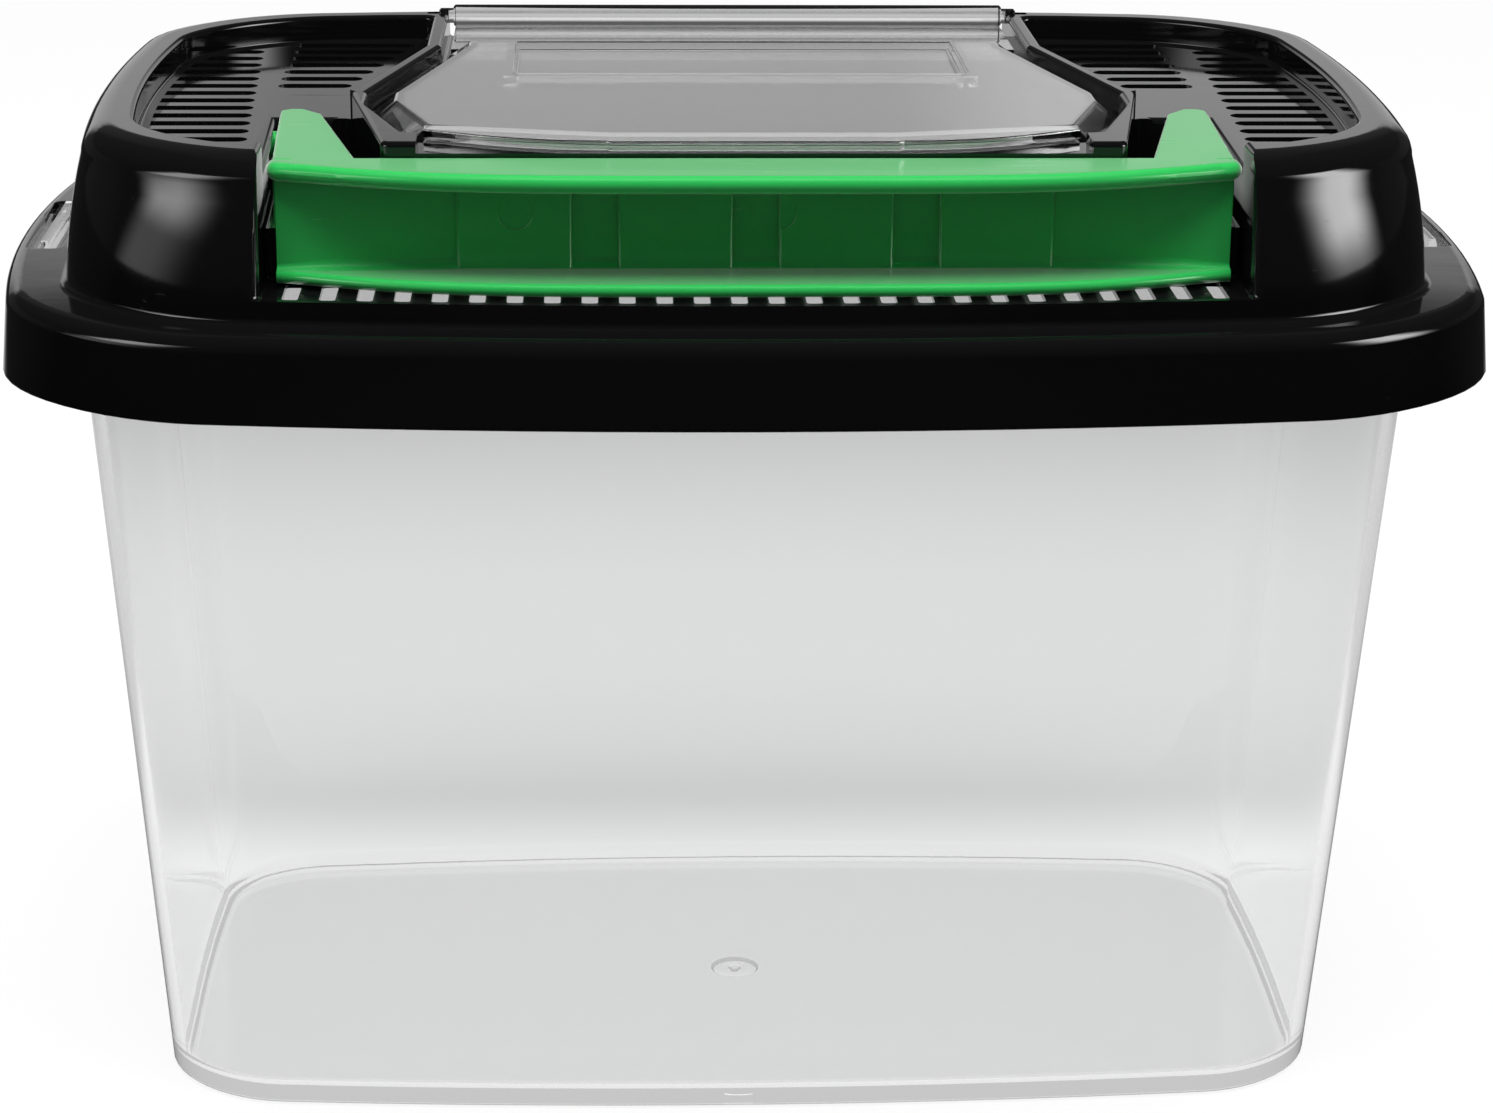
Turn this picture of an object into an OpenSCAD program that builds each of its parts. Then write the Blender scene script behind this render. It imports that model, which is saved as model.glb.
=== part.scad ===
// Plastic pet keeper: clear tapered tank, vented lid with a flip-up hatch, and a folding carry handle.
// Front of the box is -Y. Origin at the bottom centre of the tank.

/* [Tank] */
// Width of the tank at its base
base_w = 186.6; // [150:0.1:196]
// Depth of the tank at its base
base_d = 101.6; // [80:0.1:112]
// Width over the rim flange of the tank
rim_w = 223; // [216:0.5:240]
// Depth over the rim flange of the tank
rim_d = 147.6; // [142:0.2:160]
// Height of the tank
tank_h = 129.3; // [100:0.1:160]
// Thickness of the tank walls
tank_wall = 1.8; // [1.2:0.1:3]
// Thickness of the tank floor
floor_t = 2.4; // [1.5:0.1:4]
// How far the rim flange stands out from the end walls
flange_end = 9.6; // [7:0.1:12]
// How far the rim flange stands out from the front and back walls
flange_front = 10.8; // [8:0.1:13]
// Thickness of the rim flange
flange_t = 1.8; // [1.2:0.1:3]
// Corner radius of the tank at its base
base_r = 18; // [10:0.5:30]
// Corner radius of the tank under the flange
top_r = 20.5; // [12:0.5:32]
// How far the long sides of the tank bulge
front_bow = 4.4; // [0.5:0.1:8]
// How far the short sides of the tank bulge
side_bow = 2.6; // [0.5:0.1:6]
// Width of the slope between the walls and the floor inside
floor_slope = 1.6; // [0.6:0.1:3]
// Diameter of the gate mark under the floor
gate_d = 8.2; // [4:0.1:14]
// Depth of the gate mark
gate_depth = 0.6; // [0.3:0.1:1]

/* [Snap lugs] */
// Length of the snap lug on each end of the rim
lug_len = 30; // [10:0.5:34]
// Thickness of the snap lug
lug_w = 1.6; // [1.2:0.1:3]
// Clearance between a lug and its window in the lid
lug_gap = 1.8; // [0.5:0.1:2.4]
// How far the lug stands above the ledge of the lid
lug_rise = 0.6; // [0.2:0.1:1.2]

/* [Lid] */
// Thickness of the lid walls
lid_wall = 2; // [1.4:0.1:2.6]
// Clearance between the rim flange and the skirt of the lid
rim_gap = 1.5; // [0.8:0.1:3]
// Clearance between the flange and the underside of the lid
seat_gap = 0.1; // [0.05:0.05:0.3]
// Height of the skirt
skirt_h = 13.1; // [9:0.1:20]
// Corner radius of the skirt
lid_r = 29; // [22:0.5:36]
// How far the long sides of the skirt bulge
lid_front_bow = 8.6; // [4:0.1:10]
// How far the short sides of the skirt bulge
lid_side_bow = 8.6; // [4:0.1:10]
// Width of the ledge between the skirt and the hood at the ends
ledge_end = 11.2; // [10:0.1:14]
// Width of the ledge between the skirt and the hood at the front
ledge_front = 7.5; // [5:0.1:10]
// Height of the hood above the ledge
hood_h = 24; // [20:0.1:30]
// How far the hood walls lean in from foot to top
hood_lean = 2.8; // [1:0.1:4]
// Edge rounding at the top of the hood
hood_round = 4.6; // [1:0.1:5]
// Corner radius of the hood
hood_r = 27; // [20:0.5:34]

/* [Vents] */
// Distance from the back of a vent tray to its first row of slots
vent_back = 7.7; // [5:0.1:12]
// Distance kept free of slots at the front of a vent tray
vent_front = 22; // [16:0.5:30]
// Distance kept free of slots between the arm pits and the inner column
inner_front = 24; // [8:0.5:30]
// How much each slot of the inner column is shorter than the one behind it
inner_taper = 1.4; // [0:0.1:2]
// Width of the plain floor between the vent slots and the walls of the tray
vent_edge = 3; // [2:0.1:5]
// Width of the rim around each vent tray
tray_margin = 7.6; // [6:0.1:10]
// Depth of the vent trays
tray_depth = 4.4; // [2:0.1:6]
// Pitch of the slots in the vent trays
vent_pitch = 6.25; // [5.5:0.05:9]
// Width of one slot in the vent trays
vent_slot = 3.3; // [2:0.1:4]
// Width of the plain rib between the two columns of slots at the back
vent_rib = 4.4; // [2:0.1:6]
// Pitch of the slots in the floor of the handle bay
bay_pitch = 5.35; // [4.6:0.05:8]
// Width of one slot in the floor of the handle bay
bay_slot = 2.4; // [1.4:0.1:3]
// Width of the plain floor of the bay behind its slots
bay_edge = 1.4; // [1:0.1:3]
// Rim of the bay's floor in front of its slots
front_edge = 0.4; // [0.2:0.1:3]

/* [Handle bay] */
// Width of the handle bay in the front of the hood
bay_w = 142.4; // [138:0.2:146]
// Depth of the handle bay from front to back
bay_d = 15; // [14.4:0.1:16]
// How far the handle bay starts behind the foot of the hood
bay_step = 1.2; // [0.4:0.1:3]
// Height of the bay floor above the ledge
bay_rise = 3.6; // [2:0.1:6]
// Depth of the pits for the handle arms below the top of the hood
pit_depth = 12.6; // [12:0.1:15]
// How far the pits widen from front to back
pit_splay = 1.2; // [0:0.1:3]
// Thickness of the frame between the pits and the hatch
frame_t = 2.6; // [2:0.1:4]

/* [Handle] */
// Clearance between the handle and the sides of the bay
handle_gap = 0.8; // [0.4:0.1:1.4]
// Clearance between the handle and the back of the bay
back_gap = 0.7; // [0.4:0.1:1.4]
// How far the top of the handle lies below the top of the hood
handle_drop = 2.1; // [1:0.1:4]
// Height of the handle grip
grip_h = 17.6; // [12:0.1:18]
// Depth of the handle grip from front to back
grip_d = 13.8; // [9:0.1:14]
// How far the front edge of the grip curves back at its ends
grip_bulge = 11.6; // [4:0.1:11.6]
// Wall thickness of the handle
handle_t = 1.9; // [1.4:0.1:2.6]
// Width of the handle arms at the pivot
arm_w = 6.4; // [5:0.1:8]
// Width of the handle arms at the grip
arm_root = 12; // [10:0.1:13]
// Depth of the handle arms
arm_h = 9.4; // [8:0.1:9.8]
// Distance from the back of the grip to the pivot
arm_len = 33; // [28:0.1:36]
// Clearance behind the ends of the handle arms
pit_clear = 3.4; // [3:0.1:6]
// Diameter of the handle pivot pins
pin_d = 4; // [3:0.1:5]
// Running clearance of the pins, on the radius
pin_gap = 0.08; // [0.02:0.01:0.1]
// Number of finger pads in the grip
pad_count = 4; // [2:1:5]
// Width of one finger pad
pad_w = 16.5; // [10:0.5:20]
// Distance between the finger pads
pad_pitch = 23.3; // [21:0.1:26]
// How far the finger pads stand out
pad_t = 1.2; // [0.6:0.1:2]

/* [Hatch] */
// Width of the hatch opening at its widest
hatch_w = 116.6; // [108:0.2:118]
// Width of the hatch opening at the hinge
hatch_back_w = 97; // [88:0.2:102]
// Width of the hatch opening at its front corners
hatch_front_w = 103; // [94:0.2:104]
// Distance from the front of the opening to its front corners
corner_y = 6.4; // [4:0.1:10]
// Distance from the front of the opening to where it is widest
wide_from = 29; // [20:0.5:34]
// Distance from the front of the opening to the end of its widest part
wide_to = 37.2; // [35:0.1:44]
// Distance from the front of the opening to where its back part is straight
narrow_from = 79.1; // [60:0.1:86]
// Clearance around the hatch
hatch_gap = 0.7; // [0.4:0.1:1.2]
// Wall thickness of the hatch
hatch_t = 1.6; // [1.2:0.1:2]
// Slope width from the foot of the hatch to its raised top
bevel_w = 4; // [2:0.1:5]
// Height of the raised top above the hood
top_rise = 0.1; // [0:0.1:2]
// Depth of the hatch seat below the top of the hood
seat_depth = 5; // [4.4:0.1:6]
// Width of the seat under the edge of the hatch
seat_w = 3.2; // [2:0.1:5]
// Clearance under the foot of the hatch
foot_gap = 0.15; // [0.05:0.05:0.4]
// Distance of the front lip of the hatch behind the handle bay
lip_back = 0.8; // [0.3:0.1:2]
// Half width of the front lip
lip_a = 48.4; // [44:0.1:49]
// How far the front lip curves back at its ends
lip_bow = 8.8; // [4:0.1:9]
// Width of the finger tab in the middle of the front lip
tab_w = 43; // [30:0.5:60]
// How far the finger tab stands out from the lip
tab_out = 0.6; // [0.2:0.1:1]
// Diameter of the hinge rod
rod_d = 3.8; // [3:0.1:4.4]
// Diameter of the hinge pins
hinge_pin_d = 2.6; // [2:0.1:3]
// How far the hinge pins reach into the frame
pin_reach = 1.6; // [1:0.1:2]
// Distance of the hinge in front of the back of the hood
hinge_back = 7.2; // [6:0.1:10]
// Distance of the hinge axis below the top of the hood
hinge_drop = 0.5; // [0:0.1:1.5]
// Half width of the trough between the raised wings
trough_a = 36; // [30:0.5:40]
// Distance from the hinge to the front wall of the trough
trough_d = 58.4; // [50:0.1:66]
// Distance from the hinge to the back of the raised wings
wing_back = 24; // [10:0.5:30]
// How far the hinge rod is sunk into its plate
rod_sink = 0.5; // [0.2:0.1:1]
// How far each end of the hinge rod stops short of the frame
rod_inset = 4; // [2:0.5:6]

/* [Hidden] */
$fn = 48;
eps = 0.01;

// Points on one corner and between two corners of an outline
arc_steps = 8;
side_steps = 6;
// Flats on the round end of a slot
slot_steps = 6;
// How far cutting shapes run past the surface they cut
past = 1;

// Levels of the lid, from the tank up
ledge_z = tank_h + seat_gap + lid_wall;
skirt_z = ledge_z - skirt_h;
hood_z = ledge_z + hood_h;
bay_z = ledge_z + bay_rise;
tray_z = hood_z - tray_depth;
pit_z = hood_z - pit_depth;
seat_z = hood_z - seat_depth;

// Half sizes of the outlines
lid_a = rim_w / 2 + rim_gap + lid_wall;
lid_b = rim_d / 2 + rim_gap + lid_wall;
wall_a = rim_w / 2 - flange_end;
wall_b = rim_d / 2 - flange_front;
foot_a = lid_a - ledge_end;
foot_b = lid_b - ledge_front;
crown_b = foot_b - hood_lean;
hood_side_bow = lid_side_bow / 2;
hood_front_bow = lid_front_bow * 0.75;
skirt_draft = 0.8;
skirt_round = 2.6;

// Handle, seen from above
handle_top = hood_z - handle_drop;
grip_z = handle_top - grip_h;
bay_front = bay_step - foot_b;
bay_back = bay_front + bay_d;
bay_a = bay_w / 2;
grip_back = bay_back - back_gap;
grip_front = grip_back - grip_d;
pivot_y = grip_back + arm_len;
pivot_z = handle_top - arm_h / 2;
pit_back = pivot_y + arm_h / 2 + pit_clear;

// Hatch, seen from above
hatch_front = bay_back + lid_wall;
front_corner_y = hatch_front + corner_y;
wide_front_y = hatch_front + wide_from;
wide_back_y = hatch_front + wide_to;
narrow_y = hatch_front + narrow_from;
lip_front = bay_back + lip_back;
hinge_y = crown_b - hinge_back;
rod_a = hatch_back_w / 2 - rod_inset;
trough_front = hinge_y - trough_d;
wing_y = hinge_y - wing_back;

// Levels of the hatch
hinge_z = hood_z - hinge_drop;
hatch_top = hood_z + top_rise;
plate_top = hinge_z - rod_d / 2 + rod_sink;
foot_z = seat_z + foot_gap;
lip_z = hatch_top - hatch_t;

// Outlines
function spin(p, turn) = [
    p[0] * cos(turn) - p[1] * sin(turn),
    p[0] * sin(turn) + p[1] * cos(turn)
];

// Rounded rectangle with half sizes a and b and corner radius r
function rounded(a, b, r) = [
    for (q = [0:3])
        for (i = [0:arc_steps + side_steps - 1])
            let (
                odd = q % 2 == 1,
                ca = (odd ? b : a) - r,
                cb = (odd ? a : b) - r,
                t = (i - arc_steps) / side_steps,
                turn = 90 * min(i, arc_steps) / arc_steps
            )
            spin([i > arc_steps ? ca * (1 - 2 * t) : ca + r * cos(turn), cb + r * sin(turn)], 90 * q)
];

// The same outline with sides that bulge
function bowed(a, b, r, bow_x, bow_y) = [
    for (p = rounded(a, b, r)) [
        p[0] * (1 - bow_x / a * pow(p[1] / b, 2)),
        p[1] * (1 - bow_y / b * pow(p[0] / a, 2))
    ]
];

function mix(from, to, t) = from + (to - from) * t;

// Outline of the tank walls at height z, moved in by inset
function tank_ring(z, inset) =
    let (t = z / tank_h)
    bowed(
        mix(base_w / 2, wall_a, t) - inset,
        mix(base_d / 2, wall_b, t) - inset,
        mix(base_r, top_r, t) - inset,
        side_bow,
        front_bow
    );

// Outline of the skirt of the lid, moved in by inset
function skirt_ring(inset) =
    bowed(lid_a - inset, lid_b - inset, lid_r - inset, lid_side_bow, lid_front_bow);

// Outline of the hood, t from 0 at its foot to 1 at its top, moved in by inset
function hood_ring(t, inset) =
    let (k = hood_lean * t + inset)
    bowed(foot_a - k, foot_b - k, hood_r - k / 2, hood_side_bow, hood_front_bow);

// Outline moved out by g, for outlines that turn counter-clockwise
function grown(points, g) =
    let (n = len(points))
    [for (i = [0:n - 1])
        let (
            p = points[i],
            a = points[(i + n - 1) % n],
            b = points[(i + 1) % n],
            m = [p[1] - a[1], a[0] - p[0]] / norm(p - a),
            k = [b[1] - p[1], p[0] - b[0]] / norm(b - p)
        )
        p + g * (m + k) / (1 + m * k)];

// Right half of an outline, front to back, completed with its mirror image
function both_sides(half) = concat(
    half,
    [for (i = [len(half) - 1:-1:0]) [-half[i][0], half[i][1]]]
);

// Opening of the hatch, with its back edge at back_y
function hatch_outline(back_y) = both_sides([
    [tab_w / 2, hatch_front],
    [hatch_front_w / 2, front_corner_y],
    [hatch_w / 2, wide_front_y],
    [hatch_w / 2, wide_back_y],
    [hatch_back_w / 2, narrow_y],
    [hatch_back_w / 2, back_y]
]);

// Outer wall of the arm pits, as x at depth y
function pit_x(y) = bay_a + pit_splay * (y - bay_back) / (pit_back - bay_back);

// Frame beside the hatch, as x at depth y between its widest and its narrow part
function frame_x(y) =
    mix(hatch_w, hatch_back_w, (y - wide_back_y) / (narrow_y - wide_back_y)) / 2;

function pit_outline() = [
    [hatch_front_w / 2 + frame_t, bay_back - eps],
    [bay_a, bay_back - eps],
    [pit_x(pit_back), pit_back],
    [hatch_w / 2 + frame_t, pit_back]
];

// Part of the hood top that a vent tray may fill, on the right
function tray_limits() = [
    [pit_x(pit_back) + lid_wall, -lid_b],
    [lid_a, -lid_b],
    [lid_a, lid_b],
    [hatch_back_w / 2 + frame_t, lid_b],
    [hatch_back_w / 2 + frame_t, narrow_y],
    [frame_x(pit_back + lid_wall) + frame_t, pit_back + lid_wall],
    [pit_x(pit_back) + lid_wall, pit_back + lid_wall]
];

// Front lip of the hatch with its finger tab
function lip_outline() = both_sides(concat(
    [[tab_w / 2, lip_front - tab_out]],
    [for (t = [0:0.125:1]) [mix(tab_w / 2, lip_a, t), lip_front + lip_bow * t * t]],
    [[lip_a, front_corner_y + bevel_w], [tab_w / 2, hatch_front + 2 * bevel_w]]
));

function lift(points, z) = [for (p = points) [p[0], p[1], z]];

// Solid through a stack of outlines that have the same number of points
module loft(rings) {
    n = len(rings[0]);
    m = len(rings);
    polyhedron(
        points = [for (ring = rings) each ring],
        faces = concat(
            [[for (i = [0:n - 1]) i]],
            [for (k = [0:m - 2]) for (i = [0:n - 1])
                [k * n + i, (k + 1) * n + i, (k + 1) * n + (i + 1) % n]],
            [for (k = [0:m - 2]) for (i = [0:n - 1])
                [k * n + i, (k + 1) * n + (i + 1) % n, k * n + (i + 1) % n]],
            [[for (i = [n - 1:-1:0]) (m - 1) * n + i]]
        )
    );
}

module slab(points, from, to) {
    translate([0, 0, from])
        linear_extrude(to - from)
            polygon(points);
}

module left_and_right() {
    children();
    mirror([1, 0, 0])
        children();
}

// Rod along X from x1 to x2
module rod(r, x1, x2, y, z) {
    translate([x1, y, z])
        rotate([0, 90, 0])
            cylinder(r = r, h = x2 - x1);
}

// Slot with round ends, from one end point to the other in plan
module slot_plan(p, q, w) {
    run = (q - p) / norm(q - p) * w / 2;
    side = [-run[1], run[0]];
    turns = [for (i = [0:slot_steps]) 180 * i / slot_steps];
    polygon(concat(
        [for (t = turns) q - run + sin(t) * run - cos(t) * side],
        [for (t = turns) p + run - sin(t) * run + cos(t) * side]
    ));
}

// Tank: tapered tub with a flat rim flange and a snap lug on each end
module tank() color([0.86, 0.88, 0.88, 0.45]) {
    edge = 1;
    difference() {
        union() {
            loft([
                lift(tank_ring(0, edge), 0),
                lift(tank_ring(edge * 0.3, edge * 0.3), edge * 0.3),
                lift(tank_ring(edge, 0), edge),
                lift(tank_ring(tank_h, 0), tank_h)
            ]);
            loft([
                lift(skirt_ring(lid_wall + rim_gap), tank_h - flange_t),
                lift(skirt_ring(lid_wall + rim_gap), tank_h)
            ]);
            left_and_right() snap_lug();
        }
        loft([
            lift(tank_ring(floor_t, tank_wall + floor_slope), floor_t),
            lift(tank_ring(floor_t, tank_wall + floor_slope / 3), floor_t + floor_slope / 3),
            lift(tank_ring(floor_t, tank_wall), floor_t + floor_slope),
            lift(tank_ring(tank_h + past, tank_wall), tank_h + past)
        ]);
        gate_mark();
    }
}

module snap_lug() {
    root = rim_w / 2 - lug_gap - lug_w;
    rise = seat_gap + lid_wall + lug_rise;
    translate([root, -lug_len / 2, tank_h - eps])
        cube([lug_w, lug_len, rise]);
}

// Round dimple with a small nub in its middle that stops short of the ground
module gate_mark() {
    difference() {
        translate([0, 0, -eps])
            cylinder(d = gate_d, h = gate_depth);
        translate([0, 0, gate_depth / 3])
            cylinder(d = gate_d / 4, h = gate_depth);
    }
}

// Lid: skirt over the rim, narrow ledge, raised hood with vent trays, handle bay, arm pits and hatch frame
module lid() color([0.06, 0.06, 0.065]) {
    difference() {
        lid_outside();
        difference() {
            lid_inside();
            lid_wells();
        }
        left_and_right() {
            vent_tray(0);
            vent_slots();
            slab(pit_outline(), pit_z, hood_z + past);
            lug_window();
            rod(pin_d / 2 + pin_gap, bay_a - past, bay_a + pit_splay + lid_wall + past, pivot_y, pivot_z);
            rod(hinge_pin_d / 2 + pin_gap, rod_a, hatch_back_w / 2 + frame_t + past, hinge_y, hinge_z);
        }
        handle_bay();
        bay_slots();
        hatch_seat();
    }
}

module lid_outside() {
    bead = 0.6;
    fillet = 1.2;
    top = hood_z - hood_round;
    turns = [for (i = [1:4]) 90 * i / 4];
    loft(concat([
        lift(skirt_ring(bead), skirt_z),
        lift(skirt_ring(0), skirt_z + bead),
        lift(skirt_ring(skirt_draft), ledge_z - skirt_round),
        lift(skirt_ring(skirt_draft + skirt_round * 0.3), ledge_z - skirt_round * 0.3),
        lift(skirt_ring(skirt_draft + skirt_round), ledge_z),
        lift(hood_ring(0, -fillet * 0.85), ledge_z + fillet * 0.15),
        lift(hood_ring(0, -fillet * 0.25), ledge_z + fillet * 0.5),
        lift(hood_ring(0, 0), ledge_z + fillet),
        lift(hood_ring(1, 0), top)
    ], [for (t = turns) lift(hood_ring(1, hood_round * (1 - cos(t))), top + hood_round * sin(t))]));
}

module lid_inside() {
    roof = hood_z - lid_wall;
    bevel = 1;
    spare = 0.4;
    loft([
        lift(skirt_ring(lid_wall), skirt_z - past),
        lift(skirt_ring(lid_wall), ledge_z - lid_wall),
        lift(hood_ring(0, lid_wall), ledge_z - lid_wall + eps),
        lift(hood_ring(1, lid_wall + spare), roof - bevel),
        lift(hood_ring(1, lid_wall + spare + bevel), roof)
    ]);
}

// Solid places under the hood, before the trays, bay, pits and frame are cut into them
module lid_wells() {
    left_and_right() {
        vent_tray(lid_wall);
        slab(grown(pit_outline(), lid_wall), pit_z - lid_wall, hood_z);
    }
    slab(
        both_sides([
            [bay_a + lid_wall, -lid_b],
            [bay_a + lid_wall, bay_back + lid_wall]
        ]),
        bay_z - lid_wall,
        hood_z
    );
    slab(grown(hatch_outline(lid_b), frame_t), seat_z - lid_wall, hood_z);
}

// Space of one vent tray, or the walls round it when g is the wall thickness
module vent_tray(g) {
    intersection() {
        slab(hood_ring(1, tray_margin - g), tray_z - g, hood_z + past - g);
        slab(tray_limits(), tray_z - g - past, hood_z + 2 * past);
    }
}

module vent_slots() {
    back = crown_b - tray_margin - vent_back;
    front = vent_front + tray_margin - crown_b;
    column_x = pit_x(pit_back) + lid_wall;
    frame_edge = hatch_back_w / 2 + frame_t + vent_edge;
    intersection() {
        slab(hood_ring(1, tray_margin + vent_edge / 2), tray_z - lid_wall - past, tray_z + past);
        union() {
            for (y = [back - vent_pitch:-vent_pitch:front])
                slot_box(column_x + vent_rib * (y - front) / (back - front), 2 * lid_a, y);
        }
    }
    for (y = [back:-vent_pitch:pit_back + inner_front])
        slot_box(frame_edge + inner_taper * (back - y) / vent_pitch, column_x, y);
}

module slot_box(x1, x2, y) {
    translate([0, 0, tray_z - lid_wall - past])
        linear_extrude(lid_wall + 2 * past)
            slot_plan([x1, y], [x2, y], vent_slot);
}

module handle_bay() {
    slab(
        both_sides([
            [bay_a, -lid_b - past],
            [bay_a, bay_back]
        ]),
        bay_z,
        hood_z + past
    );
}

module bay_slots() {
    count = 2 * floor((bay_w / 2 - bay_slot) / bay_pitch);
    front = bay_front + front_edge;
    back = bay_back - bay_edge;
    for (i = [0:count - 1])
        let (x = (i - (count - 1) / 2) * bay_pitch)
            translate([x, 0, bay_z - lid_wall - past])
                linear_extrude(lid_wall + 2 * past)
                    slot_plan([0, front + hood_front_bow * pow(x / foot_a, 2)], [0, back], bay_slot);
}

// Seat and opening of the hatch, the recess for its front lip, and the gap for the rod in the back of the hood
module hatch_seat() {
    under_plate = 0.5;
    slab(hatch_outline(hinge_y + rod_d / 2 + past), seat_z, hood_z + past);
    slab(grown(hatch_outline(hinge_y - rod_d / 2), -seat_w), seat_z - lid_wall - past, seat_z + past);
    slab(grown(lip_outline(), hatch_gap), lip_z - foot_gap, hood_z + past);
    slab(
        both_sides([
            [lip_a + hatch_gap, bay_back - eps],
            [lip_a + hatch_gap, lip_front + lip_bow],
            [tab_w / 2, lip_front]
        ]),
        lip_z - foot_gap,
        hood_z + past
    );
    slab(
        both_sides([
            [hatch_back_w / 2, hinge_y],
            [hatch_back_w / 2, lid_b]
        ]),
        plate_top - hatch_t - under_plate,
        hood_z + past
    );
}

module lug_window() {
    root = rim_w / 2 - lug_gap - lug_w;
    translate([root - lug_gap, -lug_len / 2 - lug_gap, ledge_z - lid_wall - past])
        cube([lug_w + 2 * lug_gap, lug_len + 2 * lug_gap, lid_wall + 2 * past]);
}

// Hatch: shallow clear cap with sloped sides and a front lip, a plate behind its raised wings, and a hinge rod
module hatch() color([0.9, 0.92, 0.92, 0.4]) {
    difference() {
        union() {
            hatch_cap(0, foot_z, hatch_top);
            slab(lip_outline(), lip_z, hatch_top);
        }
        difference() {
            hatch_cap(hatch_t, foot_z - past, lip_z);
            trough(hatch_t, plate_top - hatch_t);
        }
        trough(0, plate_top);
    }
    slab(
        both_sides([
            [rod_a, wing_y - hatch_t],
            [rod_a, hinge_y]
        ]),
        plate_top - hatch_t,
        plate_top
    );
    rod(rod_d / 2, -rod_a, rod_a, hinge_y, hinge_z);
    rod(hinge_pin_d / 2, -hatch_back_w / 2 - pin_reach, hatch_back_w / 2 + pin_reach, hinge_y, hinge_z);
}

// Sloped cap, moved in by inset
module hatch_cap(inset, from, to) {
    foot = grown(hatch_outline(wing_y), -hatch_gap - inset);
    top = grown(hatch_outline(wing_y), -hatch_gap - bevel_w - inset * 0.6);
    loft([
        lift(foot, from),
        lift(foot, foot_z + hatch_t - inset),
        lift(top, to)
    ]);
}

// Space between the raised wings, widened by g, down to the level low
module trough(g, low) {
    slab(
        both_sides([
            [trough_a + g, trough_front - g],
            [trough_a + g, hinge_y]
        ]),
        low,
        hatch_top + past - g
    );
}

// Handle: channel grip open to the front, two arms and their pivot pins
module handle() color([0.2, 0.68, 0.32]) {
    grip();
    left_and_right() arm();
}

function grip_front_y(x) = grip_front + grip_bulge * pow(abs(x) / (bay_a - handle_gap), 4);

function grip_outline() =
    let (a = bay_a - handle_gap, n = 24)
    concat(
        [for (i = [0:n]) let (x = a * sin(90 * (2 * i / n - 1))) [x, grip_front_y(x)]],
        [[a, grip_back], [-a, grip_back]]
    );

module grip() {
    a = bay_a - handle_gap;
    slab(grip_outline(), grip_z, grip_z + handle_t);
    slab(grip_outline(), handle_top - handle_t, handle_top);
    translate([-a, grip_back - handle_t, grip_z])
        cube([2 * a, handle_t, grip_h]);
    for (i = [0:pad_count - 1])
        translate([(i - (pad_count - 1) / 2) * pad_pitch - pad_w / 2, grip_back - handle_t - pad_t, grip_z + eps])
            cube([pad_w, pad_t + eps, grip_h - 2 * eps]);
}

module arm() {
    bevel = 1.5;
    tip = [3, 4];
    boss_t = handle_t + 1.4;
    pin_root = 1;
    pin_short = 0.3;
    end = pivot_y + arm_h / 2 - 0.6;
    root = grip_back - past;
    out_front = pit_x(grip_back) - handle_gap;
    out_back = pit_x(end) - handle_gap;
    out_pivot = pit_x(pivot_y) - handle_gap;
    slab(
        [
            [out_front - arm_root, root],
            [out_front, root],
            [out_back, end - bevel],
            [out_back - bevel, end],
            [out_back - arm_w + tip[0], end],
            [out_back - arm_w, end - tip[1]]
        ],
        handle_top - handle_t,
        handle_top
    );
    slab(
        [
            [out_front - handle_t, root],
            [out_front, root],
            [out_back, pivot_y],
            [out_back - handle_t, pivot_y]
        ],
        handle_top - arm_h,
        handle_top
    );
    rod(arm_h / 2, out_pivot - boss_t, out_pivot, pivot_y, pivot_z);
    rod(pin_d / 2, out_pivot - pin_root, out_pivot + handle_gap + lid_wall - pin_short, pivot_y, pivot_z);
}

tank();
lid();
hatch();
handle();
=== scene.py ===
# Plastic pet keeper: clear tapered tank, gloss-black vented lid, clear flip-up hatch, folding green handle.
# The front of the keeper is -Y. Sizes in the sections are millimetres and become metres in the meshes.
import math

import bmesh
import bpy
from mathutils import Matrix, Vector


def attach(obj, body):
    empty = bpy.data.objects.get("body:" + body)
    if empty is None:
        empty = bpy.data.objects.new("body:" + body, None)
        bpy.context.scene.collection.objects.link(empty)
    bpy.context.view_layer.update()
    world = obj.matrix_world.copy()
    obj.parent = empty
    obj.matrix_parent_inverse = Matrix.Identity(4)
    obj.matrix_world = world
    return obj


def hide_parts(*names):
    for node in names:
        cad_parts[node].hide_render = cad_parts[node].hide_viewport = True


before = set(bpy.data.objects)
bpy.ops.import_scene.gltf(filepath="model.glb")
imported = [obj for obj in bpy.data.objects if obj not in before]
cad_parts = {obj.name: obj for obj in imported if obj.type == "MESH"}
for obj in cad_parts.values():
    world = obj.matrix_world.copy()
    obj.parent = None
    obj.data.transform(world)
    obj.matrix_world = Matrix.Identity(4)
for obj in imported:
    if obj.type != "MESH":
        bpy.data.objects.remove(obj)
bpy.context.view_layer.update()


# Studio
# The keeper stands on a plain pale floor under one broad softbox, with a tall softbox on each side.
# Camera, mirror-like and see-through rays find a white backdrop; the front of the room is dim.
MM = 0.001
FRAME_W = 1493
FOCAL_PX = 3667.5
SENSOR_MM = 36.0
CAMERA_PLACE = (-23.3, -576.5, 260.6)
CAMERA_PITCH = 17.81
CAMERA_TURN = -2.46
CAMERA_ROLL = 0.4855

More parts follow.
